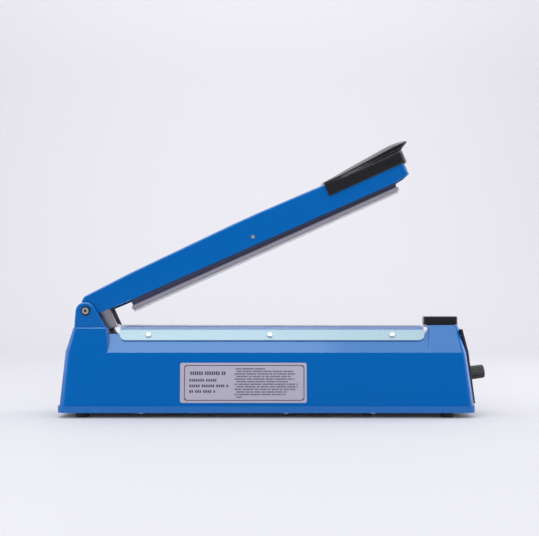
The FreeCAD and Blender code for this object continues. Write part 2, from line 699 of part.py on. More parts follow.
def switch_lever():
    """Leaf lever that leans out of the switch into the bracket leg's path."""
    leaf = block(-0.3, 0.3, 12.6, 17.0, 0.6, 14.5)
    knuckle = rod(0.8, (0, 12.6, 0.2), (0, 17.0, 0.2))
    lever = leaf.fuse(knuckle)
    lever.rotate(ORIGIN, AXIS_Y, 25)
    lever.translate(V(LEVER_X + 1.0, 0, LEVER_Z))
    return lever


def cord_grommet():
    """Rubber grommet in the supply inlet, lipped on both sides of the wall."""
    ring = rod(6.0, (0, 0, -3.8), (0, 0, 1.2))
    lips = [rod(7.8, (0, 0, 0.02), (0, 0, 1.2)), rod(7.8, (0, 0, -3.8), (0, 0, -2.65))]
    body = fuse_all([ring] + lips).cut(rod(3.6, (0, 0, -5), (0, 0, 3)))
    return on_far_wall(body, -185.0, 30.0)


def rating_label():
    """Thin blank plate stuck to the near side wall."""
    x0, x1, z0, z1 = -99.0, 31.0, 15.8, 56.6
    slant = math.cos(math.radians(SIDE_TILT))
    plate = block(x0, x1, (z0 - SKIRT_TOP) / slant, (z1 - SKIRT_TOP) / slant, 0.02, 0.27)
    corners = [e for e in plate.Edges if abs(e.Length - 0.25) < 0.01]
    plate = plate.makeFillet(2.0, corners)
    plate.rotate(ORIGIN, AXIS_X, 90 - SIDE_TILT)
    plate.translate(V(0, -LOW_HALF, SKIRT_TOP))
    return plate


# ---- internal leads -----------------------------------------------------------------------
def lead(points, radius, bend):
    """Round lead along straight runs joined by tangent arcs of one bend radius."""
    stops = [V(*p) for p in points]
    edges = []
    last = stops[0]
    for before, corner, after in zip(stops, stops[1:], stops[2:]):
        a = (before - corner).normalize()
        b = (after - corner).normalize()
        half = a.getAngle(b) / 2
        reach = bend / math.tan(half)
        middle = (a + b).normalize()
        centre = corner + middle * (bend / math.sin(half))
        start, end = corner + a * reach, corner + b * reach
        edges.append(Part.LineSegment(last, start).toShape())
        edges.append(Part.Arc(start, centre - middle * bend, end).toShape())
        last = end
    edges.append(Part.LineSegment(last, stops[-1]).toShape())
    path = Part.Wire(edges)
    ring = Part.Wire(Part.makeCircle(radius, stops[0], (stops[1] - stops[0]).normalize()))
    return path.makePipeShell([ring], True, False)


def lead_supply():
    """Supply lead from the inlet to the fuse carrier."""
    return lead([(-185, 32.6, 30), (-185, 24.5, 30), (-150, 24.5, 12), (60, 24.5, 12),
                 (82, 16, 24.6), (97.8, 13, 24.6)], 1.7, 4.0)


def lead_switch():
    """Lead from the snap switch to the relay."""
    return lead([(-210.2, 14.8, 49.7), (-210.2, 14.8, 16), (-150, 19.5, 12), (60, 19.5, 12),
                 (80, -7, 24), (95.4, -10, 24)], 1.4, 3.5)


def lead_element(side):
    """Heavy lead from the transformer winding to one end of the element."""
    if side < 0:
        return lead([(-10, -20, 51.2), (-10, -20, 66), (-60, -12, 72), (-130, -11.5, 72),
                     (-163, -11.5, 73), (-163, -5.6, 79)], 1.9, 3.6)
    return lead([(0, 20, 51.2), (0, 20, 66), (50, 12, 72), (120, 11.5, 72), (157, 11.5, 73),
                 (157, 5.6, 79)], 1.9, 3.6)


# ---- arm ----------------------------------------------------------------------------------
def arm_outline(y):
    """Side outline of the arm shell: a lug about the pivot and a round rear top corner."""
    lug = 8.6
    heel_low = (PIVOT_U - 5.0, PIVOT_W - 6.9)
    line = [(7.5, 14.6), (60, 17.2), (174, 19.6), (208, 19.7), (281, 18.4), (364.0, 16.4),
            (367.0, 13.0), (367.4, -8.0), (349.0, -10.5), (50, -9.0), heel_low]
    stops = [V(u, y, w) for u, w in line]
    edges = [Part.LineSegment(a, b).toShape() for a, b in zip(stops, stops[1:])]
    back = V(PIVOT_U - lug * math.cos(0.55), y, PIVOT_W + lug * math.sin(0.55))
    edges.append(Part.Arc(stops[-1], V(PIVOT_U - lug, y, PIVOT_W), back).toShape())
    heel = V(-0.6, y, 9.6)
    edges.append(Part.LineSegment(back, heel).toShape())
    edges.append(Part.Arc(heel, V(2.3, y, 12.9), stops[0]).toShape())
    return Part.Face(Part.Wire(edges))


def arm_shell():
    """Moulded arm, open underneath, with the tip rounded in plan."""
    body = arm_outline(-ARM_HALF).extrude(V(0, 2 * ARM_HALF, 0))
    tip = [e for e in body.Edges if e.CenterOfMass.x > 366.5
           and abs(abs(e.CenterOfMass.y) - ARM_HALF) < 0.01 and e.Length > 15]
    body = body.makeFillet(6.0, tip)
    top = [e for e in body.Edges if abs(abs(e.CenterOfMass.y) - ARM_HALF) < 0.01
           and e.CenterOfMass.z > 6 and e.CenterOfMass.x < 300]
    body = body.makeFillet(2.0, top)
    t = WALL
    room = side_prism([(6.0, 12.2), (60, 14.6), (174, 17.0), (208, 17.1), (281, 15.8),
                       (364.6, 13.6), (364.6, -20), (-6.3, -20), (-6.3, 3), (1.2, 9.9)],
                      -ARM_HALF + t, ARM_HALF - t)
    body = body.cut(room)
    boss = rod(4.0, (15.5, 0, 12.05), (15.5, 0, 14.0))
    body = body.fuse(boss)
    body = body.cut(rod(1.5, (15.5, 0, 9), (15.5, 0, 14.4)))
    body = body.cut(rod(PIN_R + RUN, (PIVOT_U, -30, PIVOT_W), (PIVOT_U, 30, PIVOT_W)))
    body = body.cut(rod(2.0, (JAW_PIN_U, -30, JAW_PIN_W), (JAW_PIN_U, 30, JAW_PIN_W)))
    for u in (300.0, 345.0):
        body = body.cut(rod(1.7, (u, 0, 5), (u, 0, 25)))
    return in_arm(body.removeSplitter())


def lift_bracket():
    """Folded steel channel that carries the arm on its pivot and takes the return spring."""
    t, front, low = 1.5, 23.2, -27.0
    cheek = [(-4.6, 1.6), (-4.6, -5.4), (8, low), (front, low), (front, 12), (7, 12), (2.6, 9)]
    cheeks = []
    for y in (-15.5, 14.0):
        plate = side_prism(cheek, y, y + t)
        outer = y if y < 0 else y + t
        rim = [e for e in plate.Edges if abs(e.CenterOfMass.x - front) < 0.01
               and abs(e.CenterOfMass.y - outer) < 0.01]
        cheeks.append(plate.makeFillet(0.9, rim))
    web = block(9, 9 + t, -15.5, 15.5, low, 12)
    shelf = block(9, front - 1.2, -15.5, 15.5, low, low + t)
    top = block(7, front - 1.2, -15.5, 15.5, 12 - t, 12)
    leg = side_prism([(4.5, -48), (11, -48), (14, -26), (7.6, -26)], 14.0, 14.0 + t)
    body = fuse_all(cheeks + [web, shelf, top, leg])
    body = body.cut(rod(PIN_R + RUN, (PIVOT_U, -30, PIVOT_W), (PIVOT_U, 30, PIVOT_W)))
    return in_arm(body.cut(rod(1.7, (15.5, 0, 9), (15.5, 0, 14))))


def handle_section(u, half, edge, crown, under):
    """Cross-section of the grip's wing: flat underneath, short sides, arched top."""
    low_l, low_r = V(u, -half + 1.5, under), V(u, half - 1.5, under)
    side_l, side_r = V(u, -half, edge), V(u, half, edge)
    edges = [Part.LineSegment(low_l, low_r).toShape(), Part.LineSegment(low_r, side_r).toShape(),
             Part.Arc(side_r, V(u, 0, crown), side_l).toShape(),
             Part.LineSegment(side_l, low_l).toShape()]
    return Part.Wire(edges)


def handle_grip():
    """Black grip: a cap over the arm's tip with a flared, crowned wing on top."""
    cap = block(281.0, 370.2, -23.6, 23.6, 4.8, 20.0)
    tip = [e for e in cap.Edges if e.CenterOfMass.x > 370.1 and abs(e.CenterOfMass.y) > 23]
    cap = cap.makeFillet(6.0, tip)
    wing = Part.makeLoft([handle_section(281.0, 23.6, 20.0, 22.2, 17.6),
                          handle_section(310.0, 25.0, 20.6, 24.8, 18.0),
                          handle_section(340.0, 27.0, 22.2, 27.6, 18.8),
                          handle_section(363.0, 28.6, 23.2, 29.3, 20.2),
                          handle_section(379.4, 29.2, 23.4, 26.0, 22.2)], True, True)
    body = cap.fuse(wing)
    room = side_prism([(270, 18.9), (281, 18.6), (364.2, 16.6), (367.1, 13.2), (367.6, 4),
                       (367.6, 0), (270, 0)], -ARM_HALF - 0.1, ARM_HALF + 0.1)
    body = body.cut(room)
    for u in (300.0, 345.0):
        body = body.cut(rod(1.45, (u, 0, 5), (u, 0, 22)))
    return in_arm(body)


def arm_screws():
    """One screw up into the shell's boss and two up through the shell into the grip."""
    screws = []
    for u, w, long in ((15.5, 10.5, 3.6), (300.0, 15.2, 6.2), (345.0, 14.0, 6.2)):
        screw = pan_screw(3.0, 2.0, 1.4, long)
        screw.rotate(ORIGIN, AXIS_X, 180)
        screw.translate(V(u, 0, w))
        screws.append(screw)
    return in_arm(group(screws))


def jaw_pin():
    """Steel cross pin that the jaw rocks on."""
    pin = rod(2.0, (JAW_PIN_U, -21.9, JAW_PIN_W), (JAW_PIN_U, 21.9, JAW_PIN_W))
    return in_arm(pin)


def jaw_bar():
    """Grooved metal jaw with two lugs on its cross pin."""
    outline = [(-15, -8.0), (15, -8.0), (15, -12.4), (10, -12.4), (10, -15.0), (15, -15.0),
               (15, -18.1), (-15, -18.1), (-15, -15.0), (-10, -15.0), (-10, -12.4), (-15, -12.4)]
    bar = cross_prism(outline, JAW_U0, JAW_U1)
    bar = bar.cut(side_prism([(JAW_U0 - 1, -7), (JAW_U0 + 4.3, -7), (JAW_U0, -18.2),
                              (JAW_U0 - 1, -18.2)], -16, 16))       # slanted rear end
    bar = bar.cut(side_prism([(JAW_U1 + 1, -7), (JAW_U1 - 2.0, -7), (JAW_U1, -18.2),
                              (JAW_U1 + 1, -18.2)], -16, 16))       # slanted front end
    lug = [(JAW_PIN_U - 11, -9), (JAW_PIN_U + 11, -9), (JAW_PIN_U + 5, 3.4), (JAW_PIN_U - 5, 3.4)]
    lugs = [side_prism(lug, y, y + 2.0) for y in (-14.0, 12.0)]
    bar = fuse_all([bar] + lugs)
    bore = rod(2.0 + RUN, (JAW_PIN_U, -20, JAW_PIN_W), (JAW_PIN_U, 20, JAW_PIN_W))
    return in_arm(bar.cut(bore))


def silicone_strip():
    """White silicone pressure strip under the jaw."""
    strip = block(JAW_U0 + 0.3, JAW_U1 - 0.2, -7.5, 7.5, JAW_FACE_W, -18.1)
    return in_arm(strip)


# ---- write every sub-part -----------------------------------------------------------------
os.makedirs("parts", exist_ok=True)
save("base_housing", base_housing())
save("base_plate", base_plate())
for place, (fx, fy) in zip(("rear_near", "rear_far", "front_near", "front_far"), foot_places()):
    save("foot_" + place, foot(fx, fy))
save("foot_screws", group([up_screw(x, y, 2.6, 3.2, 1.8, 1.5, 16) for x, y in foot_places()]))
save("base_plate_screws", group([up_screw(x, y, FOOT_H, 3.0, 1.8, 1.45, 14)
                                 for x, y in plate_boss_places()]))
save("bed_bar", bed_bar())
save("bed_screws", bed_screws())
save("insulation_strip", insulation_strip())
save("heating_element", heating_element())
save("ptfe_cover", ptfe_cover())
save("cover_strip_near", cover_strip(-1))
save("cover_strip_far", cover_strip(1))
save("cover_strip_screws", cover_strip_screws())
save("terminal_block_rear", terminal_block(-1))
save("terminal_block_front", terminal_block(1))
save("terminal_screws", terminal_screws())
save("grip_pad", grip_pad())
save("grip_pad_screws", grip_pad_screws())
save("pivot_pin", pivot_pin())
save("pivot_bush_near", pivot_bush(-1))
save("pivot_bush_far", pivot_bush(1))
save("pivot_washers", pivot_washers())
save("spring_seat", spring_seat())
save("return_spring", return_spring())
save("transformer_core", transformer_core())
save("transformer_bobbin", transformer_bobbin())
save("transformer_coil", transformer_coil())
save("transformer_frame", transformer_frame())
save("transformer_screws", transformer_screws())
save("timer_board", timer_board())
save("board_pillars", board_pillars())
save("relay", relay())
save("capacitor", capacitor())
save("fuse_block", fuse_block())
save("potentiometer_body", potentiometer_body())
save("potentiometer_nut", potentiometer_nut())
save("potentiometer_shaft", potentiometer_shaft())
save("timer_knob", timer_knob())
save("front_panel", front_panel())
save("front_panel_screws", front_panel_screws())
save("indicator_lamp", indicator_lamp())
save("microswitch_body", microswitch_body())
save("switch_screws", switch_screws())
save("switch_lever", switch_lever())
save("cord_grommet", cord_grommet())
save("rating_label", rating_label())
save("lead_supply", lead_supply())
save("lead_switch", lead_switch())
save("lead_element_rear", lead_element(-1))
save("lead_element_front", lead_element(1))
save("arm_shell", arm_shell())
save("lift_bracket", lift_bracket())
save("handle_grip", handle_grip())
save("arm_screws", arm_screws())
save("jaw_pin", jaw_pin())
save("jaw_bar", jaw_bar())
save("silicone_strip", silicone_strip())
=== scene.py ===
import json
import math

import bmesh
import bpy
import numpy as np
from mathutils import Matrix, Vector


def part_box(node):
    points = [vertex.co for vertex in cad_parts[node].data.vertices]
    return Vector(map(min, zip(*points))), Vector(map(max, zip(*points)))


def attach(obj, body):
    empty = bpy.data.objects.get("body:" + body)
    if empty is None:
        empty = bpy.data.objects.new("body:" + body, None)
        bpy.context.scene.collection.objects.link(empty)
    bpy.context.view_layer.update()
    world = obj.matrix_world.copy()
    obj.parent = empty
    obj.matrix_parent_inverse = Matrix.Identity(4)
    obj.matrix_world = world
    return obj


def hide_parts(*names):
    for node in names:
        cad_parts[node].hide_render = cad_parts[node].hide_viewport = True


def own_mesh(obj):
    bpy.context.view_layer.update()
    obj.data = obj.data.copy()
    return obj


bl_info = {
    "name": "Impulse heat sealer looks",
    "version": (1, 0, 0),
    "blender": (4, 5, 0),
    "location": "3D View > Sidebar > Heat sealer",
    "description": "Builds the grip, cloth, spring, knob, label and finishes of a hand heat sealer",
    "category": "Object",
}

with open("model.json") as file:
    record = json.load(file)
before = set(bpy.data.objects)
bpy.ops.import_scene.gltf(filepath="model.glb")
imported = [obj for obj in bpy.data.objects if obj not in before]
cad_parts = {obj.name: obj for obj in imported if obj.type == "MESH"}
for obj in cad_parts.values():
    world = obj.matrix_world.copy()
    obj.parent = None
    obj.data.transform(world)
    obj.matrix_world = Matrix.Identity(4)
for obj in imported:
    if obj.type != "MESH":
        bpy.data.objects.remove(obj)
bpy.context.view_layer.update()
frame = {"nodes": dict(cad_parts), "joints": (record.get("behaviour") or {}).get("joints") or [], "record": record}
MM = 0.001
JOINTS = {joint["name"]: joint for joint in frame["joints"]}
HINGE = np.array(JOINTS["arm_hinge"]["pos_m"])
KNOB_AXIS = np.array(JOINTS["knob_turn"]["axis"])
KNOB_ROOT = np.array(JOINTS["knob_turn"]["pos_m"])
ARM_TILT = math.radians(24.2)          # how far the arm stands open
ARM_ZERO = HINGE - np.array([1.4 * MM, 0, 0])
CAP_CORNER = 7.0 * MM                  # radius of the cap's two front corners, seen from above
DECK_HALF, DECK_Z = 15.5 * MM, 93.4 * MM
ROOF_RUN, ROOF_RISE = 18.5, 26.4       # the roof slope runs outwards and rises by these


def prop(kind, name, description, default, **more):
    """One property with its name, description and default."""
    return kind(name=name, description=description, default=default, **more)


def length(name, description, millimetres):
    """A length property, given in millimetres and kept in metres."""
    return prop(bpy.props.FloatProperty, name, description, millimetres * MM,
                min=0.0, subtype="DISTANCE", unit="LENGTH", precision=5)


def colour(name, description, rgb):
    """A linear colour property."""
    return prop(bpy.props.FloatVectorProperty, name, description, rgb,
                size=3, min=0.0, max=1.0, subtype="COLOR")


class SealerGrip(bpy.types.PropertyGroup):
    """Sizes of the black grip on the arm's tip."""
    start: length("Start", "Grip's near end along the arm, from the pivot", 281.0)
    stop: length("Stop", "Cap's far end along the arm, from the pivot", 370.2)
    lip: length("Lip", "Wing's far end along the arm, from the pivot", 379.6)
    half: length("Half width", "Half width of the cap over the arm", 23.6)
    flare: length("Flare", "Half width of the wing near its lip", 29.2)
    skirt: length("Skirt", "Height of the cap's lower edge above the pivot line", 4.8)


class SealerCloth(bpy.types.PropertyGroup):
    """Sizes of the release cloth over the sealing bed."""
    thick: length("Thickness", "Thickness of the cloth", 0.16)
    tail: length("Tail", "How far the flaps stand out past the strips", 6.0)
    drop: length("Drop", "How far the cloth runs down each slope", 15.0)


class SealerSpring(bpy.types.PropertyGroup):
    """Sizes of the lifting spring."""
    wire: length("Wire", "Wire diameter", 1.3)
    radius: length("Radius", "Mean coil radius", 5.3)
    turns: prop(bpy.props.FloatProperty, "Turns", "Number of coils", 8.5, min=2.0, max=20.0)


class SealerKnob(bpy.types.PropertyGroup):
    """Sizes of the timer knob."""
    radius: length("Radius", "Outer radius over the ribs", 7.3)
    depth: length("Rib depth", "Depth of the hollows between ribs", 0.55)
    ribs: prop(bpy.props.IntProperty, "Ribs", "Number of ribs", 20, min=6, max=60)


class SealerColours(bpy.types.PropertyGroup):
    """Colours of the main mouldings."""
    housing: colour("Housing", "Colour of the moulded housing and arm", (0.0, 0.120, 0.425))
    black: colour("Black parts", "Colour of the grip, pad and knob", (0.012, 0.012, 0.014))
    label: colour("Label", "Ground colour of the label", (0.43, 0.40, 0.50))
    ink: colour("Ink", "Colour of the label's printing", (0.035, 0.03, 0.06))


# ---- meshes -------------------------------------------------------------------------------
def make_piece(name, points, faces, smooth=True):
    """Mesh object at the origin from world points in metres and faces."""
    mesh = bpy.data.meshes.new(name)
    mesh.from_pydata(np.asarray(points, float).reshape(-1, 3).tolist(), [], faces)
    mesh.update()
    mesh.polygons.foreach_set("use_smooth", [smooth] * len(mesh.polygons))
    piece = bpy.data.objects.new(name, mesh)
    bpy.context.scene.collection.objects.link(piece)
    return piece


def grid_faces(rows, columns, wrap_rows=False, wrap_columns=False):
    """Quads between neighbouring points of a rows x columns grid, joined at the ends if wrapped."""
    r = np.arange(rows if wrap_rows else rows - 1)
    c = np.arange(columns if wrap_columns else columns - 1)
    i, j = np.meshgrid(r, c, indexing="ij")
    i2, j2 = (i + 1) % rows, (j + 1) % columns
    quads = np.stack([i * columns + j, i * columns + j2, i2 * columns + j2, i2 * columns + j], -1)
    return quads.reshape(-1, 4).tolist()


def lofted(name, grid):
    """Closed loops (one per row of the grid) carried along a path, ends closed with flat faces."""
    rows, columns = grid.shape[:2]
    faces = grid_faces(rows, columns, wrap_columns=True)
    faces.append(list(range(columns))[::-1])
    faces.append([(rows - 1) * columns + k for k in range(columns)])
    piece = make_piece(name, grid, faces)
    outward(piece)
    return piece


def outward(piece):
    """Turns every face of a closed mesh outwards."""
    work = bmesh.new()
    work.from_mesh(piece.data)
    bmesh.ops.recalc_face_normals(work, faces=work.faces)
    work.to_mesh(piece.data)
    work.free()


def sharpen(piece, degrees=35):
    """Keeps edges sharper than the angle crisp under smooth shading."""
    piece.data.set_sharp_from_angle(angle=math.radians(degrees))


def in_arm(u, y, w):
    """World points from arm coordinates: along the arm, across it, and square to it."""
    c, s = math.cos(ARM_TILT), math.sin(ARM_TILT)
    x = ARM_ZERO[0] + u * c - w * s
    z = ARM_ZERO[2] + u * s + w * c
    return np.stack(np.broadcast_arrays(x, y, z), -1)


# ---- shader node groups -------------------------------------------------------------------
def new_group(name, inputs, outputs):
    """Empty shader group with named sockets; inputs are (name, socket type, default)."""
    tree = bpy.data.node_groups.new(name, "ShaderNodeTree")
    for label, kind, default in inputs:
        socket = tree.interface.new_socket(name=label, in_out="INPUT", socket_type=kind)
        if default is not None:
            socket.default_value = default
    for label, kind in outputs:
        tree.interface.new_socket(name=label, in_out="OUTPUT", socket_type=kind)
    return tree, tree.nodes.new("NodeGroupInput"), tree.nodes.new("NodeGroupOutput")


def add(tree, kind, inputs=None, **settings):
    """One node with its settings; inputs map a socket name or index to a value or a socket."""
    node = tree.nodes.new(kind)
    for key, value in settings.items():
        setattr(node, key, value)
    for key, value in (inputs or {}).items():
        if isinstance(value, bpy.types.NodeSocket):
            tree.links.new(value, node.inputs[key])
        else:
            node.inputs[key].default_value = value
    return node


def maths(tree, operation, a, b, clamp=False):
    """Result socket of one Math node."""
    node = add(tree, "ShaderNodeMath", {0: a, 1: b}, operation=operation, use_clamp=clamp)
    return node.outputs[0]


def blend_colours(tree, factor, a, b):
    """Result socket of a colour mix."""
    node = add(tree, "ShaderNodeMix", {"Factor": factor}, data_type="RGBA")
    for index, value in ((6, a), (7, b)):
        if isinstance(value, bpy.types.NodeSocket):
            tree.links.new(value, node.inputs[index])
        else:
            node.inputs[index].default_value = value
    return node.outputs[2]


COMMON = [("Vector", "NodeSocketVector", None), ("Colour", "NodeSocketColor", (0.5, 0.5, 0.5, 1)),
          ("Tint", "NodeSocketColor", (0.4, 0.4, 0.4, 1)), ("Roughness", "NodeSocketFloat", 0.4),
          ("Spread", "NodeSocketFloat", 0.1), ("Size", "NodeSocketFloat", 0.001)]
RESULTS = [("Colour", "NodeSocketColor"), ("Roughness", "NodeSocketFloat"),
           ("Height", "NodeSocketFloat")]


def moulded_group():
    """Moulded plastic: slow colour drift, fine orange peel, faint rubbed patches and scuffs."""
    tree, start, end = new_group("Moulded Plastic", COMMON, RESULTS)
    scale = maths(tree, "DIVIDE", 1.0, start.outputs["Size"])
    slow = add(tree, "ShaderNodeTexNoise", {"Vector": start.outputs["Vector"], "Scale": 14.0,
                                            "Detail": 3.0, "Roughness": 0.6})
    peel = add(tree, "ShaderNodeTexNoise", {"Vector": start.outputs["Vector"], "Scale": scale,
                                            "Detail": 2.0, "Roughness": 0.5})
    rub = add(tree, "ShaderNodeTexNoise", {"Vector": start.outputs["Vector"], "Scale": 60.0,
                                           "Detail": 6.0, "Roughness": 0.7})
    stretched = add(tree, "ShaderNodeMapping", {"Vector": start.outputs["Vector"],
                                                "Rotation": (0.2, 0.5, 0.9),
                                                "Scale": (25.0, 900.0, 300.0)})
    scuff = add(tree, "ShaderNodeTexNoise", {"Vector": stretched.outputs[0], "Scale": 1.0,
                                             "Detail": 2.0})
    marks = maths(tree, "MULTIPLY", maths(tree, "SUBTRACT", scuff.outputs[0], 0.66), 4.0, True)
    drift = maths(tree, "ADD", slow.outputs[0], marks)
    tone = blend_colours(tree, drift, start.outputs["Colour"], start.outputs["Tint"])
    spread = maths(tree, "MULTIPLY", maths(tree, "SUBTRACT", rub.outputs[0], 0.5),
                   start.outputs["Spread"])
    rough = maths(tree, "ADD", start.outputs["Roughness"], spread)
    rough = maths(tree, "ADD", rough, maths(tree, "MULTIPLY", marks, 0.15))
    tree.links.new(tone, end.inputs["Colour"])
    tree.links.new(rough, end.inputs["Roughness"])
    tree.links.new(peel.outputs[0], end.inputs["Height"])
    return tree


def brushed_group():
    """Drawn or brushed metal: streaks along X with small pits and slow staining."""
    tree, start, end = new_group("Drawn Metal", COMMON, RESULTS)
    scale = maths(tree, "DIVIDE", 1.0, start.outputs["Size"])
    long_way = add(tree, "ShaderNodeMapping", {"Vector": start.outputs["Vector"],
                                               "Scale": (0.03, 1.0, 1.0)})
    streak = add(tree, "ShaderNodeTexNoise", {"Vector": long_way.outputs[0], "Scale": scale,
                                              "Detail": 4.0, "Roughness": 0.65})
    stain = add(tree, "ShaderNodeTexNoise", {"Vector": start.outputs["Vector"], "Scale": 45.0,
                                             "Detail": 5.0})
    tone = blend_colours(tree, maths(tree, "MULTIPLY", streak.outputs[0], stain.outputs[0]),
                         start.outputs["Colour"], start.outputs["Tint"])
    spread = maths(tree, "MULTIPLY", maths(tree, "SUBTRACT", streak.outputs[0], 0.5),
                   start.outputs["Spread"])
    rough = maths(tree, "ADD", start.outputs["Roughness"], spread)
    tree.links.new(tone, end.inputs["Colour"])
    tree.links.new(rough, end.inputs["Roughness"])
    tree.links.new(streak.outputs[0], end.inputs["Height"])
    return tree


def woven_group():
    """Plain weave: two crossed sets of threads, the higher one on top, with uneven yarn."""
    tree, start, end = new_group("Plain Weave", COMMON, RESULTS)
    scale = maths(tree, "DIVIDE", math.pi, start.outputs["Size"])
    split = add(tree, "ShaderNodeSeparateXYZ", {0: start.outputs["Vector"]})
    waves = []
    for axis in (0, 1):
        phase = maths(tree, "MULTIPLY", split.outputs[axis], scale)
        waves.append(maths(tree, "SINE", phase, 0.0))
    cross = maths(tree, "MULTIPLY", waves[0], waves[1])
    yarn = add(tree, "ShaderNodeTexNoise", {"Vector": start.outputs["Vector"], "Scale": 900.0,
                                            "Detail": 3.0})
    height = maths(tree, "ADD", maths(tree, "MULTIPLY", cross, 0.5),
                   maths(tree, "MULTIPLY", yarn.outputs[0], 0.5))
    tone = blend_colours(tree, maths(tree, "ADD", maths(tree, "MULTIPLY", cross, 0.3),
                                     maths(tree, "MULTIPLY", yarn.outputs[0], 0.7), True),
                         start.outputs["Colour"], start.outputs["Tint"])
    spread = maths(tree, "MULTIPLY", yarn.outputs[0], start.outputs["Spread"])
    rough = maths(tree, "ADD", start.outputs["Roughness"], spread)
    tree.links.new(tone, end.inputs["Colour"])
    tree.links.new(rough, end.inputs["Roughness"])
    tree.links.new(height, end.inputs["Height"])
    return tree


def dusty_group():
    """Rubber and paper: even mottling with pale dust in small patches."""
    tree, start, end = new_group("Dusty Matt", COMMON, RESULTS)
    scale = maths(tree, "DIVIDE", 1.0, start.outputs["Size"])
    grain = add(tree, "ShaderNodeTexNoise", {"Vector": start.outputs["Vector"], "Scale": scale,
                                             "Detail": 5.0, "Roughness": 0.7})
    dust = add(tree, "ShaderNodeTexNoise", {"Vector": start.outputs["Vector"], "Scale": 120.0,
                                            "Detail": 6.0, "Roughness": 0.75})
    patch = maths(tree, "MULTIPLY", maths(tree, "SUBTRACT", dust.outputs[0], 0.5), 3.0, True)
    tone = blend_colours(tree, patch, start.outputs["Colour"], start.outputs["Tint"])
    spread = maths(tree, "MULTIPLY", patch, start.outputs["Spread"])
    rough = maths(tree, "ADD", start.outputs["Roughness"], spread)
    tree.links.new(tone, end.inputs["Colour"])
    tree.links.new(rough, end.inputs["Roughness"])
    tree.links.new(grain.outputs[0], end.inputs["Height"])
    return tree


GROUPS = {}


def finish_material(name, group, base, tint, roughness, spread, size, bump, **shader_values):
    """One Principled shader fed by a shared group; other values sit on its own sockets."""
    material = bpy.data.materials.new(name)
    material.use_nodes = True
    tree = material.node_tree
    shader = tree.nodes["Principled BSDF"]
    place = add(tree, "ShaderNodeTexCoord")
    node = tree.nodes.new("ShaderNodeGroup")
    node.node_tree = GROUPS[group]
    values = {"Colour": (*base, 1.0), "Tint": (*tint, 1.0), "Roughness": roughness,
              "Spread": spread, "Size": size}
    for key, value in values.items():
        node.inputs[key].default_value = value
    tree.links.new(place.outputs["Object"], node.inputs["Vector"])
    relief = add(tree, "ShaderNodeBump", {"Strength": 1.0, "Distance": bump,
                                          "Height": node.outputs["Height"]})
    tree.links.new(node.outputs["Colour"], shader.inputs["Base Color"])
    tree.links.new(node.outputs["Roughness"], shader.inputs["Roughness"])
    tree.links.new(relief.outputs[0], shader.inputs["Normal"])
    for key, value in shader_values.items():
        shader.inputs[key.replace("_", " ")].default_value = value
    return material


def shade(rgb, factor):
    """The same hue, lighter or darker."""
    return tuple(min(1.0, channel * factor) for channel in rgb)


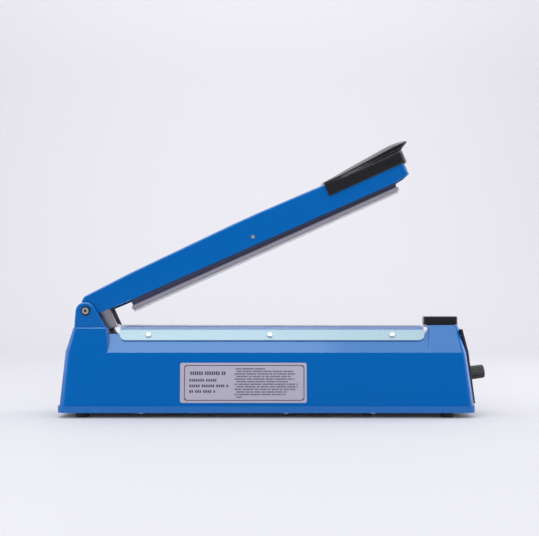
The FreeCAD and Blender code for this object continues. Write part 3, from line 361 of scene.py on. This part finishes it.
def build_finishes(colours):
    """Every finish of the object, by name."""
    GROUPS["moulded"] = moulded_group()
    GROUPS["brushed"] = brushed_group()
    GROUPS["woven"] = woven_group()
    GROUPS["dusty"] = dusty_group()
    blue = tuple(colours.housing)
    black = tuple(colours.black)
    label = tuple(colours.label)
    ink = tuple(colours.ink)
    make = finish_material
    um = 1e-6
    return {
        "blue": make("Blue ABS", "moulded", blue, shade(blue, 0.94), 0.13, 0.05, 0.0011,
                     4 * um, IOR=1.5, Specular_Tint=(0.85, 0.96, 1.0, 1.0)),
        "black": make("Black ABS", "moulded", black, shade(black, 1.6), 0.22, 0.1, 0.0009,
                      6 * um, IOR=1.5),
        "rubber": make("Black rubber", "dusty", (0.016, 0.016, 0.017), (0.06, 0.06, 0.06), 0.7,
                       0.2, 0.0006, 20 * um),
        "zinc": make("Zinc plate", "brushed", (0.56, 0.55, 0.60), (0.36, 0.35, 0.42), 0.32, 0.2,
                     0.0007, 6 * um, Metallic=1.0),
        "bright": make("Nickel plate", "brushed", (0.74, 0.74, 0.73), (0.5, 0.49, 0.48), 0.28,
                       0.15, 0.0004, 4 * um, Metallic=0.8),
        "strip": make("Drawn aluminium", "brushed", (0.27, 0.38, 0.45), (0.235, 0.345, 0.415), 0.4,
                      0.12, 0.0005, 4 * um, Metallic=0.15),
        "bar": make("Extruded aluminium", "brushed", (0.74, 0.75, 0.78), (0.6, 0.61, 0.66), 0.3,
                    0.15, 0.0006, 5 * um, Metallic=1.0),
        "jaw": jaw_material(um),
        "panel": make("Printed panel", "moulded", (0.008, 0.008, 0.03), (0.02, 0.02, 0.05), 0.3,
                      0.1, 0.0006, 5 * um),
        "cloth": cloth_material(um),
        "tape": make("Glass tape", "woven", (0.72, 0.66, 0.52), (0.55, 0.5, 0.38), 0.7, 0.1,
                     0.0006, 30 * um),
        "ribbon": make("Resistance ribbon", "brushed", (0.42, 0.38, 0.35), (0.25, 0.2, 0.2), 0.35,
                       0.2, 0.0004, 4 * um, Metallic=1.0),
        "silicone": make("White silicone", "dusty", (0.80, 0.79, 0.80), (0.66, 0.65, 0.67), 0.5,
                         0.12, 0.0012, 14 * um, Subsurface_Weight=0.15),
        "label": make("Label foil", "brushed", label, shade(label, 0.9), 0.38, 0.1, 0.0005,
                      3 * um, Metallic=0.05),
        "ink": make("Label ink", "dusty", ink, shade(ink, 1.5), 0.5, 0.1, 0.0004, 3 * um),
        "white_ink": make("Dial ink", "dusty", (0.75, 0.75, 0.78), (0.6, 0.6, 0.64), 0.5, 0.1,
                          0.0004, 3 * um),
        "phenolic": make("Phenolic board", "woven", (0.16, 0.07, 0.035), (0.1, 0.045, 0.025), 0.45,
                         0.1, 0.0008, 12 * um),
        "core": make("Laminations", "brushed", (0.10, 0.10, 0.11), (0.05, 0.05, 0.055), 0.5, 0.2,
                     0.0004, 30 * um, Metallic=0.5),
        "coil": make("Winding tape", "woven", (0.72, 0.52, 0.06), (0.5, 0.34, 0.03), 0.35, 0.1,
                     0.0012, 15 * um),
        "nylon": make("White nylon", "moulded", (0.72, 0.71, 0.68), (0.62, 0.6, 0.57), 0.45, 0.1,
                      0.0009, 8 * um),
        "board": make("Circuit board", "woven", (0.012, 0.14, 0.05), (0.006, 0.09, 0.03), 0.35,
                      0.1, 0.001, 8 * um),
        "relay": make("Relay case", "moulded", (0.01, 0.06, 0.3), (0.01, 0.04, 0.22), 0.3, 0.1,
                      0.0008, 5 * um),
        "sleeve": make("Shrink sleeve", "moulded", (0.015, 0.015, 0.03), (0.03, 0.03, 0.05), 0.3,
                       0.1, 0.0008, 5 * um),
        "lens": make("Red lens", "moulded", (0.7, 0.02, 0.01), (0.5, 0.01, 0.01), 0.15, 0.05,
                     0.001, 3 * um, Transmission_Weight=0.4, IOR=1.49),
        "lead_black": make("Black lead", "dusty", (0.02, 0.02, 0.02), (0.05, 0.05, 0.05), 0.5,
                           0.1, 0.0008, 8 * um),
        "lead_red": make("Red lead", "dusty", (0.38, 0.015, 0.01), (0.28, 0.02, 0.015), 0.5, 0.1,
                         0.0008, 8 * um),
    }


def cloth_material(um):
    """Coated glass cloth: nearly clear where it lies on the plastic, milky where it is loose."""
    material = finish_material("Coated glass cloth", "woven", (0.80, 0.78, 0.86),
                               (0.68, 0.67, 0.76), 0.16, 0.08, 0.0005, 8 * um)
    tree = material.node_tree
    free = add(tree, "ShaderNodeAttribute", attribute_name="Loose")
    cover = add(tree, "ShaderNodeMapRange", {"Value": free.outputs["Fac"], "From Min": 0.0,
                                             "From Max": 1.0, "To Min": 0.16, "To Max": 0.93})
    tree.links.new(cover.outputs[0], tree.nodes["Principled BSDF"].inputs["Alpha"])
    return material


def jaw_material(um):
    """Grey anodised bar with painted navy shade, for the arm's shadow, on the part that stays hidden in the arm.
    """
    material = finish_material("Grey anodised", "brushed", (0.36, 0.34, 0.41),
                               (0.27, 0.25, 0.32), 0.4, 0.2, 0.0006, 6 * um, Metallic=0.3)
    tree = material.node_tree
    place = add(tree, "ShaderNodeTexCoord")
    depth = add(tree, "ShaderNodeVectorMath", {0: place.outputs["Object"],
                                               1: (-math.sin(ARM_TILT), 0, math.cos(ARM_TILT))},
                operation="DOT_PRODUCT")
    zero = float(ARM_ZERO @ np.array([-math.sin(ARM_TILT), 0, math.cos(ARM_TILT)]))
    # painted shade: the upper part of the bar, nearest the arm, is darkened towards navy for the arm's shadow
    arm_shadow_paint = add(tree, "ShaderNodeMapRange", {"Value": depth.outputs["Value"],
                                               "From Min": zero - 14.4 * MM,
                                               "From Max": zero - 12.6 * MM,
                                               "To Min": 0.0, "To Max": 0.85})
    shader = tree.nodes["Principled BSDF"]
    colour_in = shader.inputs["Base Color"].links[0].from_socket
    # the navy colour is painted shade mixed over the bar's own grey
    mixed = blend_colours(tree, arm_shadow_paint.outputs[0], colour_in, (0.03, 0.045, 0.13, 1.0))
    tree.links.new(mixed, shader.inputs["Base Color"])
    return material


FINISH_OF_SLOT = {
    "blue_abs": "blue", "black_abs": "black", "black_rubber": "rubber", "zinc_steel": "zinc",
    "bright_steel": "bright", "strip_aluminium": "strip", "bar_aluminium": "bar",
    "grey_steel": "jaw", "panel_black": "panel", "ptfe_cloth": "cloth", "glass_tape": "tape",
    "nichrome": "ribbon", "silicone_white": "silicone", "label_foil": "label",
    "phenolic": "phenolic", "laminated_steel": "core", "winding_tape": "coil",
    "nylon_white": "nylon", "board_green": "board", "relay_blue": "relay",
    "capacitor_black": "sleeve", "lamp_red": "lens", "lead_black": "lead_black",
    "lead_red": "lead_red",
}
FINISHES = {}


def dress(piece, finish, body):
    """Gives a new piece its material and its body."""
    piece.data.materials.clear()
    piece.data.materials.append(FINISHES[finish])
    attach(piece, body)
    return piece


# ---- operators ----------------------------------------------------------------------------
class SEALER_OT_finishes(bpy.types.Operator):
    """Give every part that comes from the design its finish"""
    bl_idname = "sealer.finishes"
    bl_label = "Finishes"

    def execute(self, context):
        FINISHES.update(build_finishes(context.scene.sealer_colours))
        for part in frame["record"]["subparts"]:
            node = frame["nodes"][part["node"]]
            node.data.materials.clear()
            node.data.materials.append(FINISHES[FINISH_OF_SLOT[part["material_slot"]]])
        return {"FINISHED"}


def cap_half(grip, u):
    """Half width of the cap: full, then closing on a quarter circle at the tip."""
    over = np.clip(u - (grip.stop - CAP_CORNER), 0, CAP_CORNER)
    return grip.half - CAP_CORNER + np.sqrt(np.maximum(CAP_CORNER ** 2 - over ** 2, 0))


def shell_top(u):
    """Height of the arm shell's top face under the grip."""
    return np.interp(u, [0.281, 0.364, 0.3665], [18.65 * MM, 16.65 * MM, 14.2 * MM])


class SEALER_OT_grip(bpy.types.Operator):
    """Build the grip: a cap over the arm's tip and a flared, crowned wing"""
    bl_idname = "sealer.grip"
    bl_label = "Grip"

    def execute(self, context):
        grip = context.scene.sealer_grip
        cap = self.cap(grip)
        wing = self.wing(grip)
        dress(cap, "black", "arm")
        dress(wing, "black", "arm")
        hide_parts("handle_grip")
        return {"FINISHED"}

    def cap(self, grip):
        """Upside-down channel: at each place along the arm a loop goes up the outside, over
        the top and back round the inside; the inside closes up at the tip to leave a wall."""
        wall = grip.stop - 1.5 * MM
        bend = grip.stop - CAP_CORNER
        u = np.concatenate([[grip.start, grip.start + 0.4 * MM],
                            np.linspace(grip.start + 1 * MM, bend, 24),
                            bend + CAP_CORNER * np.sin(np.linspace(0.1, 1.5, 14))])
        half = cap_half(grip, u)[:, None]
        half[0] -= 0.4 * MM                          # eases the open end's edge
        inner = 21.5 * MM                            # clears the arm shell's sides
        low, high, soft = grip.skirt, 17.4 * MM, 0.7 * MM
        roof = shell_top(u)[:, None]
        closed = (u > wall)[:, None]
        out_y = np.array([-1.0, -1.0, -1.0, -1.0, 1.0, 1.0, 1.0, 1.0])
        lift = np.array([low + soft, low + 6 * MM, high - 1.5 * MM, high,
                         high, high - 1.5 * MM, low + 6 * MM, low + soft])
        outer_y = out_y * half
        outer_w = np.broadcast_to(lift, outer_y.shape)
        side = np.array([1.0, 1.0, 1.0, -1.0, -1.0, -1.0])
        room = np.minimum(half - 0.9 * MM, inner)
        inner_y = side * np.where(closed, half - soft, room)
        inner_y = np.where([1, 0, 0, 0, 0, 1], side * (half - soft), inner_y)
        steps = np.array([0, 0, 1, 1, 0, 0])
        inner_w = np.where((steps > 0) & ~closed, roof, low)
        loop_y = np.concatenate([outer_y, inner_y], 1)
        loop_w = np.concatenate([outer_w, inner_w], 1)
        grid = in_arm(u[:, None], loop_y, loop_w)
        piece = lofted("grip_cap", grid)
        sharpen(piece, 40)
        return piece

    def wing(self, grip):
        """Crowned plate: the top is an arch that is highest near the tip, then dips to a lip
        that bows outwards in plan; the sides turn under and step inwards down to the cap."""
        bow = 5.2 * MM
        corner = grip.lip - bow
        u = np.concatenate([np.linspace(grip.start, corner, 56),
                            corner + bow * np.sin(np.linspace(0.12, 1.52, 12))])
        stations = np.array([281, 302, 320, 338, 352, 363, 369, 374.5, 379.6]) * MM
        crown = np.interp(u, stations, np.array([21.8, 24, 25.9, 27.4, 28.7, 29.3, 28.8, 27.7,
                                                 25.9]) * MM)
        edge = np.interp(u, stations, np.array([19.9, 20.0, 20.9, 22.0, 22.9, 23.5, 23.6, 23.5,
                                                25.0]) * MM)
        wide = np.interp(u, [grip.start, 0.310, 0.340, 0.363, corner],
                         [23.7 * MM, 25.0 * MM, 27.0 * MM, 28.6 * MM, grip.flare])
        past = np.clip((u - corner) / bow, 0, 1)
        edge_half = wide * np.sqrt(np.maximum(1 - past ** 2, 0.004))
        root, seam = 367 * MM, 15.4 * MM             # where the lip takes off; wing meets cap
        back = np.clip((u - root) / (grip.lip - root), 0, 1)
        base = seam + (1 - (1 - back) ** 2.2) * (edge - 1.2 * MM - seam)
        foot = np.where(u < grip.stop - CAP_CORNER, grip.half,
                        cap_half(grip, np.minimum(u, grip.stop - 0.3 * MM)))
        foot = np.minimum(foot, edge_half * 0.96)
        v = np.sin(np.linspace(-1, 1, 29) * math.pi / 2)
        top_y = edge_half[:, None] * v
        top_w = crown[:, None] - (crown - edge)[:, None] * np.abs(v) ** 2.0
        drop = np.array([0.0, 0.04, 0.18, 0.32, 0.38, 0.50, 0.64, 0.70, 0.86, 1.0])
        inward = np.array([0.0, 0.12, 0.40, 0.26, 0.32, 0.66, 0.52, 0.58, 0.95, 1.0])
        lip_w = edge - 0.9 * MM
        flare_y = edge_half[:, None] - (edge_half - foot)[:, None] * inward
        flare_w = lip_w[:, None] - (lip_w - base)[:, None] * drop
        loop_y = np.concatenate([top_y, flare_y, -flare_y[:, ::-1]], 1)
        loop_w = np.concatenate([top_w, flare_w, flare_w[:, ::-1]], 1)
        grid = in_arm(u[:, None], loop_y, loop_w)
        piece = lofted("grip_wing", grid)
        sharpen(piece, 30)
        return piece


class SEALER_OT_cloth(bpy.types.Operator):
    """Stretch the release cloth over the bed and down both slopes"""
    bl_idname = "sealer.cloth"
    bl_label = "Release cloth"

    def execute(self, context):
        sizes = context.scene.sealer_cloth
        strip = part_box("cover_strip_near")
        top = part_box("ptfe_cover")[1].z - sizes.thick
        slope = np.array([-ROOF_RUN, -ROOF_RISE]) / math.hypot(ROOF_RUN, ROOF_RISE)
        out = np.array([-ROOF_RISE, ROOF_RUN]) / math.hypot(ROOF_RUN, ROOF_RISE)
        corner = np.array([-DECK_HALF, DECK_Z]) + out * 0.1 * MM
        foot = corner + slope * sizes.drop
        shoulder = np.array([-9.4 * MM, top])
        middle = np.array([0.0, top + 0.04 * MM])
        legs = [(foot, corner, 14), (corner, shoulder, 7), (shoulder, middle, 9)]
        near = np.concatenate([a + (b - a) * np.linspace(0, 1, n, endpoint=False)[:, None]
                               for a, b, n in legs])
        half = np.concatenate([near, [middle], near[::-1] * [-1, 1]])
        y, z = half[:, 0], half[:, 1]
        on_slope = np.clip((np.abs(y) - 15.4 * MM) / (0.9 * MM), 0, 1)
        down = np.clip((91.5 * MM - z) / (7.0 * MM), 0, 1) ** 1.4
        rear = strip[0].x - 0.3 * MM - on_slope * sizes.tail * (1 - down)
        front = strip[1].x - 0.8 * MM + on_slope * (sizes.tail - 0.6 * MM) * (1 - down)
        t = np.linspace(0, 1, 161)[:, None]
        t = t - 0.02 * np.sin(2 * math.pi * t)
        x = rear + (front - rear) * t
        past = np.maximum(np.maximum(strip[0].x - x, x - strip[1].x), 0) / sizes.tail
        lift = on_slope * past * 0.7 * MM
        # a shallow ripple along the bed, where the cloth isn't clamped
        ripple = 0.05 * MM * np.sin(x * 260) * np.sin(x * 97 + 1) * (np.abs(y) < 15 * MM)
        grid = np.stack([x, y + np.sign(y) * lift * 0.8, z + lift * 0.5 + ripple], -1)
        piece = make_piece("release_cloth", grid, grid_faces(*grid.shape[:2]))
        uv = piece.data.uv_layers.new(name="Cloth")
        wide = np.concatenate([[0], np.cumsum(np.hypot(np.diff(y), np.diff(z)))])
        index = np.zeros(len(piece.data.loops), int)
        piece.data.loops.foreach_get("vertex_index", index)
        flat = np.stack([grid[..., 0].ravel(), np.broadcast_to(wide, grid.shape[:2]).ravel()], -1)
        uv.data.foreach_set("uv", flat[index].ravel())
        # milky where it stands off the plastic: the flaps, and the bed with its rounded edges
        loose = np.clip(past * 6, 0, 1) + np.clip((12.0 * MM - np.abs(y)) / (0.8 * MM), 0, 1)
        free = piece.data.attributes.new("Loose", "FLOAT", "POINT")
        free.data.foreach_set("value", np.clip(loose, 0, 1).ravel())
        solid = piece.modifiers.new("Thickness", "SOLIDIFY")
        solid.thickness = sizes.thick
        solid.offset = 1.0
        dress(piece, "cloth", "base")
        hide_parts("ptfe_cover")
        return {"FINISHED"}


class SEALER_OT_spring(bpy.types.Operator):
    """Wind the lifting spring between its seat and the bracket"""
    bl_idname = "sealer.spring"
    bl_label = "Lifting spring"

    def execute(self, context):
        sizes = context.scene.sealer_spring
        low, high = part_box("return_spring")
        seat = np.array([-176.3 * MM, 0.0, low.z + sizes.wire * 0.7])
        head = np.array([-173.7 * MM, 0.0, high.z - sizes.wire * 1.1])
        steps = int(sizes.turns * 40)
        t = np.linspace(0, 1, steps)
        rise = np.interp(t, [0, 0.08, 0.92, 1], [0, 0.03, 0.97, 1])
        angle = t * sizes.turns * 2 * math.pi
        centre = seat + (head - seat) * rise[:, None]
        ring = np.stack([np.cos(angle), np.sin(angle), 0 * angle], -1)
        path = centre + ring * (sizes.radius - sizes.wire * 0.5)
        ahead = np.gradient(path, axis=0)
        ahead /= np.linalg.norm(ahead, axis=1)[:, None]
        side = np.cross(ahead, ring)
        around = np.linspace(0, 2 * math.pi, 10, endpoint=False)
        tube = (path[:, None] + sizes.wire / 2 * (np.cos(around)[:, None] * ring[:, None]
                                                  + np.sin(around)[:, None] * side[:, None]))
        piece = lofted("lifting_spring", tube)
        dress(piece, "zinc", "base")
        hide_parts("return_spring")
        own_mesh(piece)
        return {"FINISHED"}


def around_knob(radius, angle, along):
    """World points about the knob's axis: distance from it, turn and height along it."""
    side = np.array([0.0, 1.0, 0.0])
    up = np.cross(KNOB_AXIS, side)
    turn = np.cos(angle)[..., None] * up + np.sin(angle)[..., None] * side
    return KNOB_ROOT + radius[..., None] * turn + along[..., None] * KNOB_AXIS


class SEALER_OT_knob(bpy.types.Operator):
    """Build the ribbed timer knob and the marks round it"""
    bl_idname = "sealer.knob"
    bl_label = "Timer knob"

    def execute(self, context):
        sizes = context.scene.sealer_knob
        self.knob(sizes)
        self.marks()
        return {"FINISHED"}

    def knob(self, sizes):
        """Turned profile whose radius swells and shrinks with the angle to make the ribs; the
        ribs fade into a plain collar, a rounded front edge and a dished face."""
        front = 20.6 * MM
        along = np.array([3.2, 3.0, 3.0, 3.3, 4.2, 4.9, 5.3, 9, 13, 17, 18.9, 19.6, 20.1, 20.45,
                          20.6, 20.6, 20.3, 20.1, 20.0]) * MM
        out = np.array([0.86, 0.87, 0.99, 1.03, 1.03, 1.02, 1, 0.995, 0.985, 0.975, 0.97, 0.955,
                        0.925, 0.88, 0.83, 0.78, 0.72, 0.4, 0.02])
        rib = np.array([0, 0, 0, 0, 0, 0.4, 1, 1, 1, 1, 1, 0.8, 0.5, 0.2, 0, 0, 0, 0, 0])
        angle = np.linspace(0, 2 * math.pi, sizes.ribs * 10, endpoint=False)
        wave = (0.5 - 0.5 * np.cos(angle * sizes.ribs)) ** 1.6
        radius = sizes.radius * out[:, None] - sizes.depth * rib[:, None] * wave
        grid = around_knob(radius, angle[None] + 0 * radius, along[:, None] + 0 * radius)
        inner = np.array([[7.0, 0.84], [7.0, 0.42]])
        flat = 0 * radius[:2]
        rows = around_knob(sizes.radius * inner[::-1, 1:] + flat, angle[None] + flat,
                           inner[::-1, :1] * MM + flat)
        piece = lofted("knob_body", np.concatenate([rows, grid]))
        sharpen(piece, 50)
        dress(piece, "black", "knob")
        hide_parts("timer_knob")
        line = self.pointer(front, sizes.radius)
        dress(line, "white_ink", "knob")

    def pointer(self, front, radius):
        """Short raised bar on the knob's face, rounded off at both ends."""
        s = np.linspace(-1, 1, 13)
        half = 0.45 * MM * np.sqrt(np.maximum(1 - s ** 6, 0.02))
        reach = radius * (0.52 + 0.24 * s)
        up = np.cross(KNOB_AXIS, [0.0, 1.0, 0.0])
        rows = []
        for offset, height in ((-1, -0.5), (-1, 0.1), (1, 0.1), (1, -0.5)):
            rows.append(KNOB_ROOT + up * reach[:, None] + KNOB_AXIS * (front + height * MM)
                        + np.array([0.0, 1.0, 0.0]) * (offset * half)[:, None])
        return lofted("knob_pointer", np.stack(rows, 1))

    def marks(self):
        """Eleven printed ticks fanned over 300 degrees on the panel round the knob."""
        face = 2.27 * MM
        points, faces = [], []
        for i, a in enumerate(np.radians(np.linspace(-150, 150, 11))):
            long = 3.4 if i % 5 == 0 else 2.2
            r = np.array([9.6, 9.6, 9.6 + long, 9.6 + long]) * MM
            w = np.array([-0.3, 0.3, 0.3, -0.3]) * MM
            angle = a + w / r
            for height in (0.0, 0.05 * MM):
                points.append(around_knob(r, angle, np.full(4, face + height)))
            base = 8 * i
            faces += [[base + k for k in f] for f in BOX_FACES]
        piece = make_piece("dial_marks", np.concatenate(points), faces, smooth=False)
        outward(piece)
        dress(piece, "white_ink", "base")


BOX_FACES = [[0, 1, 2, 3], [7, 6, 5, 4], [0, 4, 5, 1], [1, 5, 6, 2], [2, 6, 7, 3], [3, 7, 4, 0]]


class SEALER_OT_label(bpy.types.Operator):
    """Print the plain label: a ruled border and blocks of blank bars"""
    bl_idname = "sealer.label"
    bl_label = "Label"

    def execute(self, context):
        low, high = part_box("rating_label")
        self.x0, self.x1 = low.x, high.x
        self.z0, self.z1 = low.z, high.z
        self.slant = (high.y - low.y - 0.25 * MM) / (high.z - low.z)
        self.face = low.y - 0.02 * MM
        bars = self.frame_bars() + self.heading_bars() + self.small_bars()
        points = np.concatenate([self.bar(*b) for b in bars])
        faces = []
        for i in range(len(bars)):
            faces += [[8 * i + k for k in f] for f in BOX_FACES]
        piece = make_piece("label_print", points, faces, smooth=False)
        outward(piece)
        dress(piece, "ink", "base")
        return {"FINISHED"}

    def bar(self, x0, x1, z0, z1):
        """Eight corners of one printed bar, in millimetres from the label's lower left."""
        xs = self.x0 + np.array([x0, x1, x1, x0]) * MM
        zs = self.z0 + np.array([z0, z0, z1, z1]) * MM
        ys = self.face + (zs - self.z0) * self.slant
        outer = np.stack([xs, ys - 0.03 * MM, zs], -1)
        inner = np.stack([xs, ys + 0.05 * MM, zs], -1)
        return np.concatenate([outer, inner])

    def frame_bars(self):
        """Border with cut corners and the rule between the two columns."""
        w, h, t = 130.0, 40.8, 0.8
        left, right, low, high = 4.0, w - 2.4, 2.2, h - 2.2
        return [(left + 2, right - 2, low, low + t), (left + 2, right - 2, high - t, high),
                (left, left + t, low + 2, high - 2), (right - t, right, low + 2, high - 2),
                (left + 0.6, left + 2.3, low + 0.5, low + 2.2),
                (right - 2.3, right - 0.6, low + 0.5, low + 2.2),
                (left + 0.6, left + 2.3, high - 2.2, high - 0.5),
                (right - 2.3, right - 0.6, high - 2.2, high - 0.5)]

    def heading_bars(self):
        """Four bold rows of blank letter-sized bars on the left."""
        bars = []
        draw = np.random.default_rng(5)
        for x0, x1, z, tall in ((10.5, 50.0, 28.4, 3.6), (9.5, 41.0, 21.6, 2.7),
                                (9.5, 49.5, 15.9, 2.7), (9.5, 37.0, 10.2, 2.7)):
            bars += self.words(draw, x0, x1, z, tall, 1.5, 0.75)
        return bars

    def small_bars(self):
        """A short heading over eleven fine rows of blank letter-sized bars on the right."""
        draw = np.random.default_rng(9)
        bars = self.words(draw, 57.0, 88.0, 33.9, 1.5, 1.0, 0.5)
        for row in range(11):
            z = 31.3 - row * 2.62
            end = 64.0 if row == 10 else draw.uniform(108.0, 122.0)
            bars += self.words(draw, 56.0 if row % 2 else 58.0, end, z, 1.5, 0.95, 0.5)
        return bars

    def words(self, draw, x, end, z, tall, wide, gap):
        """Groups of two to eight upright bars, one per letter, with a space between groups."""
        bars = []
        while x < end - wide:
            for _ in range(draw.integers(2, 9)):
                if x > end - wide:
                    break
                bars.append((x, x + wide, z, z + tall))
                x += wide + gap
            x += wide
        return bars


class SEALER_OT_jaw_rubber(bpy.types.Operator):
    """Mould the silicone strip with soft edges and ends"""
    bl_idname = "sealer.jaw_rubber"
    bl_label = "Pressure strip"

    def execute(self, context):
        """Rounded-rectangle loops carried along the jaw and drawn in at both ends."""
        u0, u1 = 44.3 * MM, 351.4 * MM
        t = np.linspace(0, 1, 80)
        ease = np.minimum(np.minimum(t, 1 - t) * (u1 - u0) / (1.2 * MM), 1)
        u = u0 + (u1 - u0) * t
        pull = (1 - np.sqrt(np.maximum(1 - (1 - ease) ** 2, 0))) * 0.8 * MM
        angle = np.linspace(0, 2 * math.pi, 40, endpoint=False)
        c, s = np.cos(angle), np.sin(angle)
        half, thick = 7.4 * MM, 1.35 * MM
        y = np.sign(c) * np.abs(c) ** 0.25 * half
        w = np.sign(s) * np.abs(s) ** 0.3 * thick
        middle = -19.43 * MM
        loop_y = y * (1 - pull[:, None] / half)
        loop_w = middle + w * (1 - pull[:, None] / thick * 0.5)
        piece = lofted("pressure_strip", in_arm(u[:, None], loop_y, loop_w))
        sharpen(piece, 60)
        dress(piece, "silicone", "jaw")
        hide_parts("silicone_strip")
        return {"FINISHED"}


class SEALER_OT_stage(bpy.types.Operator):
    """Set the pale sweep, the lights and the camera"""
    bl_idname = "sealer.stage"
    bl_label = "Stage"

    def execute(self, context):
        self.sweep()
        self.world()
        self.softbox("overhead", (-0.1, -0.3, 1.5), (0, 0, 0), (1.8, 1.2), 7.0)
        self.softbox("right_side", (1.2, 0.3, 0.45), (0, math.radians(82), 0), (0.8, 0.7), 5.0)
        self.softbox("left_side", (-1.3, 0.1, 0.5), (0, math.radians(-80), 0), (0.8, 0.8), 2.5)
        wall = self.softbox("backdrop", (0.0, 1.0, 1.9), (math.radians(50), 0, 0), (3.2, 0.8), 16.0)
        wall.visible_glossy = False
        fill = self.softbox("front_fill", (-0.3, -1.9, 1.0), (math.radians(62), 0, 0),
                            (2.0, 1.0), 14.0)
        fill.visible_glossy = False
        self.card("studio_flag", (-4.0, -2.6, -0.5), (8.0, 0, 0), (0, 0, 2.7), 0.02)
        self.card("left_card", (-1.3, -1.8, 1.35), (1.45, 0, 0), (0, 1.8, 0), 4.8)
        self.card("right_card", (0.15, -1.8, 1.35), (1.2, 0, 0), (0, 1.8, 0), 3.0)
        self.camera()
        return {"FINISHED"}

    def sweep(self):
        """Floor that bends up on a quarter circle into a back wall."""
        radius, reach, half, height = 0.9, 1.2, 5.0, 3.0
        angle = np.linspace(0, math.pi / 2, 24)
        y = np.concatenate([[-4.0, 0.0], reach + radius * np.sin(angle), [reach + radius]])
        z = np.concatenate([[0.0, 0.0], radius - radius * np.cos(angle), [height]])
        x = np.array([-half, half])[:, None]
        grid = np.stack(np.broadcast_arrays(x, y, z), -1)
        piece = make_piece("sweep", grid, grid_faces(*grid.shape[:2]))
        material = bpy.data.materials.new("Sweep paper")
        material.use_nodes = True
        shader = material.node_tree.nodes["Principled BSDF"]
        shader.inputs["Base Color"].default_value = (0.69, 0.685, 0.715, 1)
        shader.inputs["Roughness"].default_value = 0.85
        shader.inputs["Specular IOR Level"].default_value = 0.2
        piece.data.materials.append(material)

    def world(self):
        world = bpy.data.worlds.new("Studio")
        world.use_nodes = True
        back = world.node_tree.nodes["Background"]
        back.inputs["Color"].default_value = (0.96, 0.96, 1.0, 1)
        back.inputs["Strength"].default_value = 0.75
        bpy.context.scene.world = world

    def softbox(self, name, place, turn, size, power):
        light = bpy.data.lights.new(name, "AREA")
        light.shape = "RECTANGLE"
        light.size, light.size_y = size
        light.energy = power
        lamp = bpy.data.objects.new(name, light)
        lamp.location = place
        lamp.rotation_euler = turn
        bpy.context.scene.collection.objects.link(lamp)
        return lamp

    def card(self, name, start, along, up, glow):
        """Flat card of even brightness that shows only in reflections."""
        start, along, up = (np.array(v, float) for v in (start, along, up))
        grid = np.array([[start, start + along], [start + up, start + along + up]])
        piece = make_piece(name, grid, grid_faces(2, 2))
        material = bpy.data.materials.new(name)
        material.use_nodes = True
        tree = material.node_tree
        shine = add(tree, "ShaderNodeEmission", {"Color": (0.92, 1.0, 0.94, 1), "Strength": glow})
        tree.links.new(shine.outputs[0], tree.nodes["Material Output"].inputs["Surface"])
        piece.data.materials.append(material)
        piece.visible_camera = False
        piece.visible_diffuse = False
        piece.visible_transmission = False
        piece.visible_shadow = False

    def camera(self):
        """Level camera a metre from the middle plane, raised view by a small shift."""
        lens = bpy.data.cameras.new("camera")
        lens.lens = 62.65
        lens.sensor_width = 36.0
        lens.shift_y = 0.067
        eye = bpy.data.objects.new("camera", lens)
        eye.location = (-7.2 * MM, -1.0, 117 * MM)
        eye.rotation_euler = (math.pi / 2, 0, 0)
        bpy.context.scene.collection.objects.link(eye)
        bpy.context.scene.camera = eye
        bpy.context.scene.view_settings.view_transform = "Standard"


class SEALER_PT_panel(bpy.types.Panel):
    """Lists the builders of the sealer's pieces"""
    bl_idname = "SEALER_PT_panel"
    bl_label = "Heat sealer"
    bl_space_type = "VIEW_3D"
    bl_region_type = "UI"
    bl_category = "Heat sealer"

    def draw(self, context):
        for operator in OPERATORS:
            self.layout.operator(operator.bl_idname)
        for name in GROUPS_OF_PROPERTIES:
            settings = getattr(context.scene, name)
            box = self.layout.box()
            for key in settings.bl_rna.properties.keys()[2:]:
                box.prop(settings, key)


OPERATORS = [SEALER_OT_finishes, SEALER_OT_stage, SEALER_OT_grip, SEALER_OT_cloth,
             SEALER_OT_spring, SEALER_OT_knob, SEALER_OT_label, SEALER_OT_jaw_rubber]
GROUPS_OF_PROPERTIES = {"sealer_grip": SealerGrip, "sealer_cloth": SealerCloth,
                        "sealer_spring": SealerSpring, "sealer_knob": SealerKnob,
                        "sealer_colours": SealerColours}


def register():
    """Registers the property groups, operators and panel."""
    for name, group in GROUPS_OF_PROPERTIES.items():
        bpy.utils.register_class(group)
        setattr(bpy.types.Scene, name, bpy.props.PointerProperty(type=group))
    for cls in OPERATORS + [SEALER_PT_panel]:
        bpy.utils.register_class(cls)


def unregister():
    """Takes everything back out."""
    for cls in [SEALER_PT_panel] + OPERATORS[::-1]:
        bpy.utils.unregister_class(cls)
    for name, group in GROUPS_OF_PROPERTIES.items():
        delattr(bpy.types.Scene, name)
        bpy.utils.unregister_class(group)


def main():
    """Builds the looks."""
    register()
    bpy.ops.sealer.finishes()
    bpy.ops.sealer.stage()
    bpy.ops.sealer.grip()
    bpy.ops.sealer.cloth()
    bpy.ops.sealer.spring()
    bpy.ops.sealer.knob()
    bpy.ops.sealer.label()
    bpy.ops.sealer.jaw_rubber()


if __name__ == "__main__":
    main()
